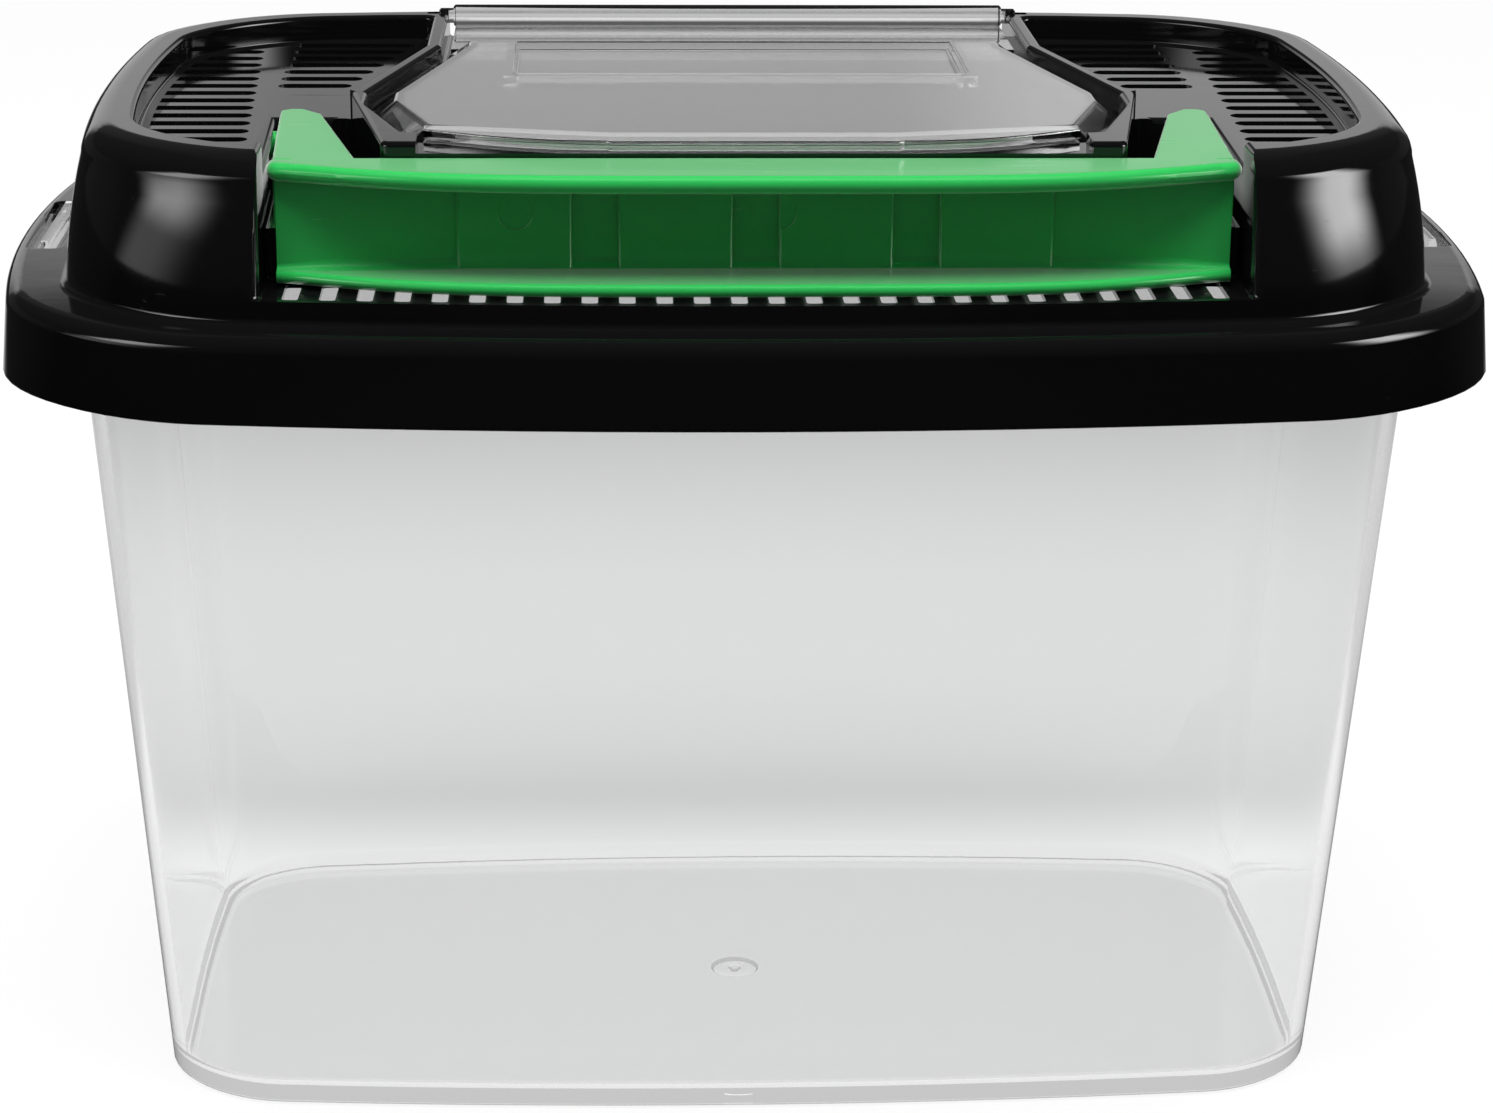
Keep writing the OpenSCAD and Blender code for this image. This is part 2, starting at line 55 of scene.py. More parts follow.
camera_data = bpy.data.cameras.new("camera")
camera_data.sensor_width = SENSOR_MM
camera_data.sensor_fit = "HORIZONTAL"
camera_data.lens = FOCAL_PX / FRAME_W * SENSOR_MM
camera = bpy.data.objects.new("camera", camera_data)
camera.matrix_world = (
    Matrix.Translation(Vector(CAMERA_PLACE) * MM)
    @ Matrix.Rotation(math.radians(CAMERA_TURN), 4, "Z")
    @ Matrix.Rotation(math.radians(90 - CAMERA_PITCH), 4, "X")
    @ Matrix.Rotation(math.radians(CAMERA_ROLL), 4, "Z")
)
bpy.context.scene.collection.objects.link(camera)
bpy.context.scene.camera = camera
bpy.context.scene.view_settings.view_transform = "Standard"


def node_of(tree, kind, **settings):
    """New shader node with some of its properties set."""
    made = tree.nodes.new(kind)
    for key, value in settings.items():
        setattr(made, key, value)
    return made


def math_node(tree, operation, first, second):
    """Math node fed by two sockets or numbers, and its output."""
    made = node_of(tree, "ShaderNodeMath", operation=operation)
    for socket, value in zip(made.inputs, (first, second)):
        if isinstance(value, (int, float)):
            socket.default_value = value
        else:
            tree.links.new(value, socket)
    return made.outputs[0]


def smooth_step(tree, value, low, high, first, last):
    """Output that goes smoothly from first to last while value goes from low to high."""
    made = node_of(tree, "ShaderNodeMapRange", interpolation_type="SMOOTHSTEP")
    for name, number in (("From Min", low), ("From Max", high), ("To Min", first), ("To Max", last)):
        made.inputs[name].default_value = number
    tree.links.new(value, made.inputs["Value"])
    return made.outputs[0]


def product(tree, first, *others):
    """All the given outputs or numbers, multiplied one after the other."""
    for other in others:
        first = math_node(tree, "MULTIPLY", first, other)
    return first


def side_box(tree, axes, side, near, far, foot, head, top, slant, level):
    """Softbox that only mirrored rays find.

    It lies between two turns from the front, in degrees, fades out at its foot, is brightest towards its
    head and ends at its top. Its upright edges slant.
    """
    across = math_node(tree, "MULTIPLY", axes.outputs["X"], side)
    ahead = math_node(tree, "MULTIPLY", axes.outputs["Y"], -1.0)
    height = axes.outputs["Z"]
    turn = math_node(tree, "ARCTAN2", across, ahead)
    lean = math_node(tree, "SUBTRACT", height, head[1])
    turn = math_node(tree, "ADD", turn, math_node(tree, "MULTIPLY", lean, math.radians(slant)))
    rise = smooth_step(tree, turn, *(math.radians(a) for a in near), 0.0, 1.0)
    return product(
        tree, rise, rise,
        smooth_step(tree, turn, *(math.radians(a) for a in far), level, 0.0),
        smooth_step(tree, height, *head, 0.2, 1.0),
        smooth_step(tree, height, *foot, 0.0, 1.0),
        smooth_step(tree, height, top, top + 0.05, 1.0, 0.0),
    )


def make_world():
    world = bpy.data.worlds.new("studio")
    world.use_nodes = True
    tree = world.node_tree
    tree.nodes.clear()
    rays = node_of(tree, "ShaderNodeLightPath")
    direction = node_of(tree, "ShaderNodeTexCoord")
    axes = node_of(tree, "ShaderNodeSeparateXYZ")
    tree.links.new(direction.outputs["Generated"], axes.inputs[0])
    # Mirrored rays see two pale panels low behind the keeper, a softbox on each side and a dim room.
    room = 0.02
    aside = math_node(tree, "ABSOLUTE", axes.outputs["X"], 0.0)
    mirrored_light = product(
        tree,
        smooth_step(tree, aside, 0.075, 0.13, 0.42, 0.62),
        smooth_step(tree, aside, 0.3, 0.45, 1.0, 0.04),
        smooth_step(tree, axes.outputs["Z"], 0.2, 0.26, 1.0, 0.06),
        smooth_step(tree, axes.outputs["Y"], 0.0, 0.3, 0.0, 1.0),
    )
    left = side_box(
        tree, axes, side=-1.0, near=(26, 62), far=(70, 82),
        foot=(-0.45, -0.1), head=(0.1, 0.22), top=0.4, slant=60.0, level=5.0,
    )
    right = side_box(
        tree, axes, side=1.0, near=(40, 68), far=(76, 94),
        foot=(-0.36, -0.12), head=(-0.04, 0.13), top=0.4, slant=30.0, level=10.0,
    )
    for light in (left, right, room):
        mirrored_light = math_node(tree, "ADD", mirrored_light, light)
    # Scattered light comes mostly from above.
    scattered = smooth_step(tree, axes.outputs["Z"], -0.1, 0.9, 0.06, 0.6)
    glossy = rays.outputs["Is Glossy Ray"]
    strength = math_node(tree, "MULTIPLY", glossy, mirrored_light)
    plain = math_node(tree, "SUBTRACT", 1.0, glossy)
    strength = math_node(tree, "ADD", strength, math_node(tree, "MULTIPLY", plain, scattered))
    # The camera sees pure white; rays through the clear plastic see a slightly grey backdrop.
    refracted = rays.outputs["Is Transmission Ray"]
    strength = math_node(tree, "MULTIPLY", strength, math_node(tree, "SUBTRACT", 1.0, refracted))
    through = smooth_step(tree, axes.outputs["Z"], 0.05, 0.35, 0.85, 0.12)
    seen = math_node(tree, "MULTIPLY", refracted, through)
    seen = math_node(tree, "MAXIMUM", seen, rays.outputs["Is Camera Ray"])
    strength = math_node(tree, "MAXIMUM", strength, seen)
    background = node_of(tree, "ShaderNodeBackground")
    background.inputs["Color"].default_value = (1.0, 1.0, 1.0, 1.0)
    tree.links.new(strength, background.inputs["Strength"])
    output = node_of(tree, "ShaderNodeOutputWorld")
    tree.links.new(background.outputs[0], output.inputs["Surface"])
    bpy.context.scene.world = world


def make_floor():
    radius = 4.0
    below = 0.0002
    paper_share = 0.1
    mesh = bpy.data.meshes.new("floor")
    corners = [(radius * math.cos(a), radius * math.sin(a), -below)
               for a in (math.tau * i / 64 for i in range(64))]
    mesh.from_pydata(corners, [], [list(range(64))])
    floor = bpy.data.objects.new("floor", mesh)
    bpy.context.scene.collection.objects.link(floor)
    material = bpy.data.materials.new("pale_floor")
    material.use_nodes = True
    tree = material.node_tree
    tree.nodes.clear()
    rays = node_of(tree, "ShaderNodeLightPath")
    place = node_of(tree, "ShaderNodeTexCoord")
    axes = node_of(tree, "ShaderNodeSeparateXYZ")
    tree.links.new(place.outputs["Object"], axes.inputs[0])
    # The camera sees a white floor. Through the clear plastic it shows a painted pool of light, brightest
    # under the keeper and greyer behind.
    # Mirrored rays find it pale behind the keeper and dim in front, and scattered rays find it dim.
    behind = axes.outputs["Y"]
    near = smooth_step(tree, behind, 0.045, 0.09, 0.98, 0.65)
    middle = smooth_step(tree, behind, 0.2, 0.45, 0.0, 0.33)
    far = smooth_step(tree, behind, 0.5, 0.75, 0.0, 0.25)
    through = math_node(tree, "ADD", math_node(tree, "SUBTRACT", near, middle), far)
    aside = math_node(tree, "ABSOLUTE", axes.outputs["X"], 0.0)
    mirrored_light = product(
        tree,
        smooth_step(tree, behind, -0.05, 0.3, 0.012, 0.6),
        smooth_step(tree, aside, 0.2, 0.4, 1.0, 0.03),
    )
    camera_ray = rays.outputs["Is Camera Ray"]
    refracted = rays.outputs["Is Transmission Ray"]
    scattered = rays.outputs["Is Diffuse Ray"]
    solid = math_node(tree, "SUBTRACT", 1.0, refracted)
    mirrored_ray = math_node(tree, "MULTIPLY", rays.outputs["Is Glossy Ray"], solid)
    level = math_node(tree, "MULTIPLY", refracted, through)
    level = math_node(tree, "ADD", level, math_node(tree, "MULTIPLY", mirrored_ray, mirrored_light))
    level = math_node(tree, "MAXIMUM", level, camera_ray)
    level = math_node(tree, "MAXIMUM", level, math_node(tree, "MULTIPLY", scattered, 0.2))
    seen = math_node(tree, "MAXIMUM", camera_ray, refracted)
    share = math_node(tree, "MAXIMUM", math_node(tree, "MULTIPLY", seen, 1.0 - paper_share), mirrored_ray)
    share = math_node(tree, "MAXIMUM", share, math_node(tree, "MULTIPLY", scattered, 0.8))
    paint = node_of(tree, "ShaderNodeBsdfDiffuse")
    paint.inputs["Color"].default_value = (0.86, 0.86, 0.86, 1.0)
    white = node_of(tree, "ShaderNodeEmission")
    white.inputs["Color"].default_value = (1.0, 1.0, 1.0, 1.0)
    tree.links.new(level, white.inputs["Strength"])
    mixed = node_of(tree, "ShaderNodeMixShader")
    tree.links.new(share, mixed.inputs[0])
    tree.links.new(paint.outputs[0], mixed.inputs[1])
    tree.links.new(white.outputs[0], mixed.inputs[2])
    output = node_of(tree, "ShaderNodeOutputMaterial")
    tree.links.new(mixed.outputs[0], output.inputs["Surface"])
    mesh.materials.append(material)


def softbox(name, place, aim, size, watts):
    data = bpy.data.lights.new(name, "AREA")
    data.shape = "RECTANGLE"
    data.size, data.size_y = size
    data.energy = watts
    lamp = bpy.data.objects.new(name, data)
    lamp.location = place
    lamp.rotation_euler = (Vector(aim) - Vector(place)).to_track_quat("-Z", "Y").to_euler()
    # The world holds what mirrored rays see of the softboxes.
    lamp.visible_glossy = False
    lamp.visible_transmission = False
    bpy.context.scene.collection.objects.link(lamp)


make_world()
make_floor()
softbox("softbox_top", (0.0, -0.3, 1.25), (0.0, 0.0, 0.1), (1.0, 0.6), 26.0)
softbox("softbox_left", (-0.95, -0.3, 0.7), (0.0, 0.0, 0.13), (0.45, 0.8), 0.5)
softbox("softbox_right", (0.95, -0.25, 0.7), (0.0, 0.0, 0.13), (0.45, 0.8), 0.8)


# Tank
# Clear polystyrene tub, injection moulded in one with its rim flange and a snap lug on each end.
# Its walls taper down to the base and every side bulges a little, so the outlines are rings of one formula.
TANK_H = 129.3
TANK_BASE = (93.3, 50.8, 18.0)
TANK_TOP = (101.9, 63.0, 20.5)
TANK_BOW = (2.6, 4.4)
TANK_WALL = 1.8
FLOOR_T = 2.4
FLANGE_T = 1.8
LID_HALF = (115.0, 77.3, 29.0)
LID_BOW = (8.6, 8.6)
FLANGE_INSET = 3.5
LUG_X = (108.1, 109.7)
LUG_HALF_LEN = 15.0
LUG_RISE = 2.7


def outline(half_w, half_d, radius, bow_x, bow_y, arc=12, side=14):
    """Counter-clockwise points of a rounded rectangle whose sides bulge."""
    points = []
    for quarter in range(4):
        across, along = (half_w, half_d) if quarter % 2 == 0 else (half_d, half_w)
        turn = math.pi / 2 * quarter
        for i in range(arc + side):
            if i <= arc:
                a = math.pi / 2 * i / arc
                x = across - radius + radius * math.cos(a)
                y = along - radius + radius * math.sin(a)
            else:
                x = (across - radius) * (1 - 2 * (i - arc) / side)
                y = along
            px = x * math.cos(turn) - y * math.sin(turn)
            py = x * math.sin(turn) + y * math.cos(turn)
            points.append((
                px * (1 - bow_x / half_w * (py / half_d) ** 2),
                py * (1 - bow_y / half_d * (px / half_w) ** 2),
            ))
    return points


def at(points, z):
    return [(x, y, z) for x, y in points]


def quarter_turn(steps=5):
    """Sine and cosine over a quarter turn, for rounded edges."""
    turns = [math.pi / 2 * i / steps for i in range(steps + 1)]
    return [(math.sin(a), math.cos(a)) for a in turns]


def lofted(name, rings):
    """Closed mesh through rings of points that have the same count, capped at both ends."""
    count = len(rings[0])
    points = [(x * MM, y * MM, z * MM) for ring in rings for x, y, z in ring]
    faces = [list(range(count))]
    for row in range(len(rings) - 1):
        for i in range(count):
            j = (i + 1) % count
            a = row * count
            faces.append([a + i, a + j, a + count + j, a + count + i])
    faces.append([(len(rings) - 1) * count + i for i in range(count)])
    mesh = bpy.data.meshes.new(name)
    mesh.from_pydata(points, [], faces)
    shell = bmesh.new()
    shell.from_mesh(mesh)
    bmesh.ops.recalc_face_normals(shell, faces=shell.faces)
    shell.to_mesh(mesh)
    shell.free()
    made = bpy.data.objects.new(name, mesh)
    bpy.context.scene.collection.objects.link(made)
    return made


def bake(piece):
    """Applies the modifiers of a piece to its own mesh."""
    graph = bpy.context.evaluated_depsgraph_get()
    mesh = bpy.data.meshes.new_from_object(piece.evaluated_get(graph))
    piece.modifiers.clear()
    old = piece.data
    piece.data = mesh
    bpy.data.meshes.remove(old)


def combine(piece, tool, operation):
    """Cuts tool out of piece, joins it on or keeps what they share, and removes tool."""
    step = piece.modifiers.new("combine", "BOOLEAN")
    step.operation = operation
    step.solver = "EXACT"
    step.object = tool
    bake(piece)
    bpy.data.objects.remove(tool)


def polish(piece, crease=38):
    """Smooth shading with crisp creases, where the flat faces keep flat reflections."""
    cleaned = bmesh.new()
    cleaned.from_mesh(piece.data)
    bmesh.ops.remove_doubles(cleaned, verts=cleaned.verts, dist=0.000002)
    bmesh.ops.dissolve_degenerate(cleaned, edges=cleaned.edges, dist=0.000002)
    cleaned.to_mesh(piece.data)
    cleaned.free()
    piece.data.shade_smooth()
    piece.data.set_sharp_from_angle(angle=math.radians(crease))
    weighted = piece.modifiers.new("weighted", "WEIGHTED_NORMAL")
    weighted.mode = "FACE_AREA_WITH_ANGLE"
    weighted.keep_sharp = True
    bake(piece)


def tank_ring(z, inset):
    t = z / TANK_H
    half_w, half_d, radius = (base + (top - base) * t for base, top in zip(TANK_BASE, TANK_TOP))
    return at(outline(half_w - inset, half_d - inset, radius - inset, *TANK_BOW), z)


def skirt_ring(z, inset):
    half_w, half_d, radius = (size - inset for size in LID_HALF)
    return at(outline(half_w, half_d, radius, *LID_BOW), z)


def tank_shell():
    foot_r = 1.0
    fillet = 0.8
    lip_r = 0.5
    inner_r = 2.2
    flange_low = TANK_H - FLANGE_T
    wall_rings = 6
    turns = quarter_turn(4)
    rings = [tank_ring(foot_r * (1 - c), foot_r * (1 - s)) for s, c in quarter_turn()]
    rings += [tank_ring(flange_low * k / wall_rings, 0) for k in range(1, wall_rings)]
    rings += [tank_ring(flange_low - fillet * (1 - s), -fillet * (1 - c)) for s, c in quarter_turn()]
    # The rim's flange: out along its underside, over its edge and back to the inner wall.
    rings += [skirt_ring(flange_low + lip_r * (1 - c), FLANGE_INSET + lip_r * (1 - s)) for s, c in turns]
    rings += [skirt_ring(TANK_H - lip_r * (1 - s), FLANGE_INSET + lip_r * (1 - c)) for s, c in turns]
    rings += [tank_ring(TANK_H - lip_r * (1 - c), TANK_WALL - lip_r * (1 - s)) for s, c in turns]
    low = FLOOR_T + inner_r
    depth = TANK_H - FLOOR_T - inner_r
    rings += [tank_ring(low + depth * k / wall_rings, TANK_WALL) for k in range(wall_rings - 1, 0, -1)]
    for s, c in quarter_turn():
        rings.append(tank_ring(FLOOR_T + inner_r * (1 - s), TANK_WALL + inner_r * (1 - c)))
    return lofted("tank_body", rings)


def snap_lug(side):
    taper = 0.3
    root = 0.4
    top = TANK_H + LUG_RISE
    rings = []
    for z, inset in ((TANK_H - root, 0.0), (top - 0.5, taper * 0.6), (top, taper)):
        x1, x2 = LUG_X[0] + inset, LUG_X[1] - inset
        y = LUG_HALF_LEN - 2 * inset
        rings.append([(side * x, s * y, z) for x, s in ((x1, -1), (x2, -1), (x2, 1), (x1, 1))])
    return lofted("lug", rings)


def revolved(name, profile, place=(0, 0, 0), axis="Z", steps=32):
    """Solid turned round an axis through place, from radius and height pairs."""
    rings = []
    for radius, height in profile:
        ring = []
        for i in range(steps):
            a = math.tau * i / steps
            p = (radius * math.cos(a), radius * math.sin(a), height)
            if axis == "X":
                p = (p[2], p[0], p[1])
            ring.append((p[0] + place[0], p[1] + place[1], p[2] + place[2]))
        rings.append(ring)
    return lofted(name, rings)


def handling_wear():
    """Shader group: fine hairline marks and faint patches, as roughness and as a height for bump."""
    tree = bpy.data.node_groups.new("handling_wear", "ShaderNodeTree")
    for name, value in (("Base Roughness", 0.1), ("Patches", 0.03), ("Hairlines", 0.06), ("Scale", 90.0)):
        socket = tree.interface.new_socket(name, in_out="INPUT", socket_type="NodeSocketFloat")
        socket.default_value = value
    tree.interface.new_socket("Roughness", in_out="OUTPUT", socket_type="NodeSocketFloat")
    tree.interface.new_socket("Height", in_out="OUTPUT", socket_type="NodeSocketFloat")
    given = node_of(tree, "NodeGroupInput")
    place = node_of(tree, "ShaderNodeTexCoord")
    patches = node_of(tree, "ShaderNodeTexNoise")
    patches.inputs["Detail"].default_value = 3.0
    tree.links.new(place.outputs["Object"], patches.inputs["Vector"])
    tree.links.new(given.outputs["Scale"], patches.inputs["Scale"])
    # Hairlines are noise drawn out twenty times along one slanting direction.
    drawn = node_of(tree, "ShaderNodeMapping")
    drawn.inputs["Rotation"].default_value = (0.4, 0.3, 0.7)
    drawn.inputs["Scale"].default_value = (60.0, 1200.0, 1200.0)
    tree.links.new(place.outputs["Object"], drawn.inputs["Vector"])
    lines = node_of(tree, "ShaderNodeTexNoise")
    lines.inputs["Scale"].default_value = 1.0
    lines.inputs["Detail"].default_value = 1.0
    tree.links.new(drawn.outputs[0], lines.inputs["Vector"])
    picked = node_of(tree, "ShaderNodeMapRange")
    picked.inputs["From Min"].default_value = 0.68
    picked.inputs["From Max"].default_value = 0.78
    tree.links.new(lines.outputs[0], picked.inputs["Value"])
    spread = math_node(tree, "MULTIPLY", patches.outputs[0], given.outputs["Patches"])
    marks = math_node(tree, "MULTIPLY", picked.outputs[0], given.outputs["Hairlines"])
    total = math_node(tree, "ADD", given.outputs["Base Roughness"], spread)
    total = math_node(tree, "ADD", total, marks)
    result = node_of(tree, "NodeGroupOutput")
    tree.links.new(total, result.inputs["Roughness"])
    tree.links.new(patches.outputs[0], result.inputs["Height"])
    return tree


WEAR = handling_wear()


def moulded(name, colour, roughness, patches, hairlines, bump, ior, clear=False,
            painted_edge_glow=0.0, sheen=0.0, coat=0.0):
    """Moulded plastic: the colour, handling marks in the gloss, a faint ripple from the mould and, if asked,
    a painted glow that stands in for light guided along a wall.
    """
    material = bpy.data.materials.new(name)
    material.use_nodes = True
    tree = material.node_tree
    surface = tree.nodes["Principled BSDF"]
    surface.inputs["Base Color"].default_value = (*colour, 1.0)
    surface.inputs["IOR"].default_value = ior
    surface.inputs["Transmission Weight"].default_value = 1.0 if clear else 0.0
    wear = node_of(tree, "ShaderNodeGroup", node_tree=WEAR)
    wear.inputs["Base Roughness"].default_value = roughness
    wear.inputs["Patches"].default_value = patches
    wear.inputs["Hairlines"].default_value = hairlines
    tree.links.new(wear.outputs["Roughness"], surface.inputs["Roughness"])
    ripple = node_of(tree, "ShaderNodeBump")
    ripple.inputs["Strength"].default_value = bump
    ripple.inputs["Distance"].default_value = 0.0002
    tree.links.new(wear.outputs["Height"], ripple.inputs["Height"])
    tree.links.new(ripple.outputs[0], surface.inputs["Normal"])
    surface.inputs["Coat Weight"].default_value = coat
    surface.inputs["Coat IOR"].default_value = 1.9
    surface.inputs["Sheen Weight"].default_value = sheen
    surface.inputs["Sheen Roughness"].default_value = 0.35
    if painted_edge_glow:
        # Painted glow: light that stays in a wall for many turns is drawn as white light given off by the
        # plastic itself, so the wall's edge comes out pale.
        rays = node_of(tree, "ShaderNodeLightPath")
        deep = math_node(tree, "GREATER_THAN", rays.outputs["Glossy Depth"], 2.5)
        tree.links.new(math_node(tree, "MULTIPLY", deep, painted_edge_glow), surface.inputs["Emission Strength"])
    return material


# The tank's walls get a painted glow at their edges, standing in for light guided through the plastic.
CLEAR_PLASTIC = moulded(
    "clear_polystyrene", colour=(0.985, 0.988, 0.988), roughness=0.004, patches=0.012, hairlines=0.03,
    bump=0.03, ior=1.57, clear=True, painted_edge_glow=0.2,
)

tank = tank_shell()
combine(tank, snap_lug(-1), "UNION")
combine(tank, snap_lug(1), "UNION")
gate_ring = revolved("gate_ring", (
    (3.8, -0.5), (3.8, 0.1), (4.1, 0.45), (3.3, 0.6), (1.3, 0.6), (0.6, 0.2), (0.6, -0.5),
))
combine(tank, gate_ring, "DIFFERENCE")
polish(tank)
tank.data.materials.append(CLEAR_PLASTIC)
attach(tank, "tank")
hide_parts("tank")


# Lid
# Gloss-black moulding: skirt over the tank's rim, narrow ledge, raised hood. Vent trays, handle bay, arm
# pits and the hatch seat are sunk into the hood with rounded lips, and slots go through their floors.
LEDGE_Z = 131.4
SKIRT_Z = 118.3
HOOD_Z = 155.4
HOOD_FOOT = (103.8, 69.8, 27.0)
HOOD_BOW = (4.3, 6.45)
HOOD_LEAN = 2.8
HOOD_ROUND = 4.6
HOOD_BULGE = 0.45
SKIRT_ROUND = 2.6
LID_WALL = 2.0
BAY_HALF_W = 71.2
BAY_BACK = -53.6
BAY_FLOOR = 135.0
BAY_EDGE_R = 1.5
SLOTS_FRONT = -68.2
PIT_FLOOR = 142.8
PIT_BACK = -13.2
PIT_BACK_X = 72.4
PIT_INNER_X = (54.1, 60.9)
SEAT_Z = 150.4
TRAY_Z = 151.0
TRAY_MARGIN = 7.6
RAIL_T = 2.6
LIP_R = 0.8
FOOT_R = 0.5
CLEAR_ABOVE = 3.0
OPEN_FRONT = -95.0
SEAT_BACK = 90.0
BAR_TOP = 153.75
HAIR = 0.03


def hood_ring(z, t, inset):
    lean = HOOD_LEAN * t + inset
    return at(outline(HOOD_FOOT[0] - lean, HOOD_FOOT[1] - lean, HOOD_FOOT[2] - lean / 2, *HOOD_BOW), z)


def softened(corners, radius, steps=5):
    """Outline with each corner of a polygon turned into an arc."""
    if radius == 0:
        return list(corners)
    points = []
    count = len(corners)
    for i, corner in enumerate(corners):
        here = Vector(corner)
        back = (Vector(corners[i - 1]) - here).normalized()
        ahead = (Vector(corners[(i + 1) % count]) - here).normalized()
        half = back.angle(ahead) / 2
        if math.pi / 2 - half < 0.02:
            points.append(tuple(here))
            continue
        reach = radius / math.tan(half)
        centre = here + (back + ahead).normalized() * radius / math.sin(half)
        start = here + back * reach - centre
        end = here + ahead * reach - centre
        sweep = start.angle_signed(end)
        for k in range(steps + 1):
            a = -sweep * k / steps
            points.append((
                centre.x + start.x * math.cos(a) - start.y * math.sin(a),
                centre.y + start.x * math.sin(a) + start.y * math.cos(a),
            ))
    return points


def grown(points, gap):
    """Counter-clockwise outline moved out by gap."""
    moved = []
    count = len(points)
    for i, point in enumerate(points):
        here = Vector(point)
        back = here - Vector(points[i - 1])
        ahead = Vector(points[(i + 1) % count]) - here
        out_back = Vector((back.y, -back.x)).normalized()
        out_ahead = Vector((ahead.y, -ahead.x)).normalized()
        moved.append(tuple(here + gap * (out_back + out_ahead) / (1 + out_back.dot(out_ahead))))
    return moved


def mirrored(half):
    """Right half of an outline, front to back, completed with its mirror image."""
    return list(half) + [(-x, y) for x, y in reversed(half)]


def pocket(name, points, floor, top, foot_r=FOOT_R, lip_r=LIP_R):
    """Tool for a sunk space: rounded where walls meet the floor, flared into a rounded lip at the top."""
    rings = [at(grown(points, -foot_r * (1 - s)), floor + foot_r * (1 - c)) for s, c in quarter_turn(4)]
    rings += [at(grown(points, lip_r * (1 - c)), top - lip_r * (1 - s)) for s, c in quarter_turn(4)]
    rings.append(at(grown(points, lip_r), top + CLEAR_ABOVE))
    return lofted(name, rings)


def slab(name, points, low, high):
    return lofted(name, [at(points, low), at(points, high)])


def flipped(points):
    """Mirror image of an outline, still counter-clockwise."""
    return [(-x, y) for x, y in reversed(points)]


def lid_outside():
    bead = 0.6
    draft = 0.8
    foot_r = 1.0
    top = HOOD_Z - HOOD_ROUND
    steps = 8
    foot = ((0, bead), (bead * 0.3, bead * 0.3), (bead, 0))
    rings = [skirt_ring(SKIRT_Z + up, inset) for up, inset in foot]
    for s, c in quarter_turn(7):
        rings.append(skirt_ring(LEDGE_Z - SKIRT_ROUND * (1 - s), draft + SKIRT_ROUND * (1 - c)))
    rings += [hood_ring(LEDGE_Z + foot_r * (1 - c), 0, -foot_r * (1 - s)) for s, c in quarter_turn(4)]
    # The hood's wall bulges a little between its foot and its rounded top edge.
    low = LEDGE_Z + foot_r
    for k in range(1, steps + 1):
        t = k / steps
        rings.append(hood_ring(low + (top - low) * t, t, -4 * HOOD_BULGE * t * (1 - t)))
    rings += [hood_ring(top + HOOD_ROUND * s, 1, HOOD_ROUND * (1 - c)) for s, c in quarter_turn(9)[1:]]
    return lofted("lid_body", rings)


def lid_inside():
    roof = HOOD_Z - LID_WALL
    return lofted("lid_inside", [
        skirt_ring(SKIRT_Z - 1, LID_WALL),
        skirt_ring(LEDGE_Z - LID_WALL, LID_WALL),
        hood_ring(LEDGE_Z - LID_WALL + 0.05, 0, LID_WALL),
        hood_ring(roof - 1.0, 1, LID_WALL + 0.4),
        hood_ring(roof, 1, LID_WALL + 1.4),
    ])


def hatch_corners(back_y):
    """Corners of the hatch's seat, seen from above."""
    return mirrored([
        (21.5, -51.6), (51.5, -45.2), (58.3, -22.6), (58.3, -14.4), (48.5, 27.5), (48.5, back_y),
    ])


def tray_outline(corner_r):
    """Right vent tray: the hood's outline moved in, cut off along the arm pit and the hatch rail."""
    ring = [(x, y) for x, y, z in hood_ring(0, 1, TRAY_MARGIN)]
    ring = sorted(ring, key=lambda p: math.atan2(p[1], p[0]))
    column_x = PIT_BACK_X + LID_WALL
    rail_x = 48.5 + RAIL_T
    front = [p for p in ring if p[0] > column_x + 1 and p[1] < 0]
    back = [p for p in ring if p[0] > rail_x + 1 and p[1] >= 0]
    front_y = min(y for x, y in front) - 0.3
    back_y = max(y for x, y in back) + 0.2
    pit_y = PIT_BACK + LID_WALL
    # The hatch's rail runs slanting from (48.5, 27.5) to (58.3, -14.4).
    rail_front_x = 58.3 + RAIL_T - (pit_y + 14.4) * 9.8 / 41.9
    corners = [
        (column_x, front_y), (column_x + 12, front_y), (column_x + 12, back_y), (rail_x, back_y),
        (rail_x, 27.5), (rail_front_x, pit_y), (column_x, pit_y),
    ]
    inner = softened(corners, corner_r)
    # The corners at the hood's outline are left out: the outline itself runs there.
    arc = len(inner) // len(corners)
    return inner[:arc] + front + back + inner[3 * arc:]


def bay_front(z):
    """Place of the hood's front face beside the bay, which leans back towards the top."""
    return -66.56 + HOOD_LEAN * (z - LEDGE_Z) / (HOOD_Z - LEDGE_Z)


def bay_outline(z, flare):
    """Handle bay at height z, open to the front, with rounded front edges on its side walls."""
    back_r = 1.0
    wall = BAY_HALF_W + flare
    front_y = bay_front(z)
    half = [(wall + BAY_EDGE_R, OPEN_FRONT)]
    for s, c in quarter_turn(5):
        half.append((wall + BAY_EDGE_R - BAY_EDGE_R * s, front_y + BAY_EDGE_R - BAY_EDGE_R * c))
    half += [(wall - back_r * (1 - c), BAY_BACK + flare - back_r * (1 - s)) for s, c in quarter_turn(3)]
    return mirrored(half)


def bay_tool():
    """The lower part of the handle bay; a hair narrower than the tool for the arms above it."""
    overlap = 0.9
    hair = 0.01
    top = PIT_FLOOR + FOOT_R + overlap
    foot_r = 0.6
    rings = []
    for s, c in quarter_turn(3):
        rings.append(at(bay_outline(BAY_FLOOR, -foot_r * (1 - s) - hair), BAY_FLOOR + foot_r * (1 - c)))
    rings.append(at(bay_outline(top, -hair), top))
    return lofted("bay_tool", rings)


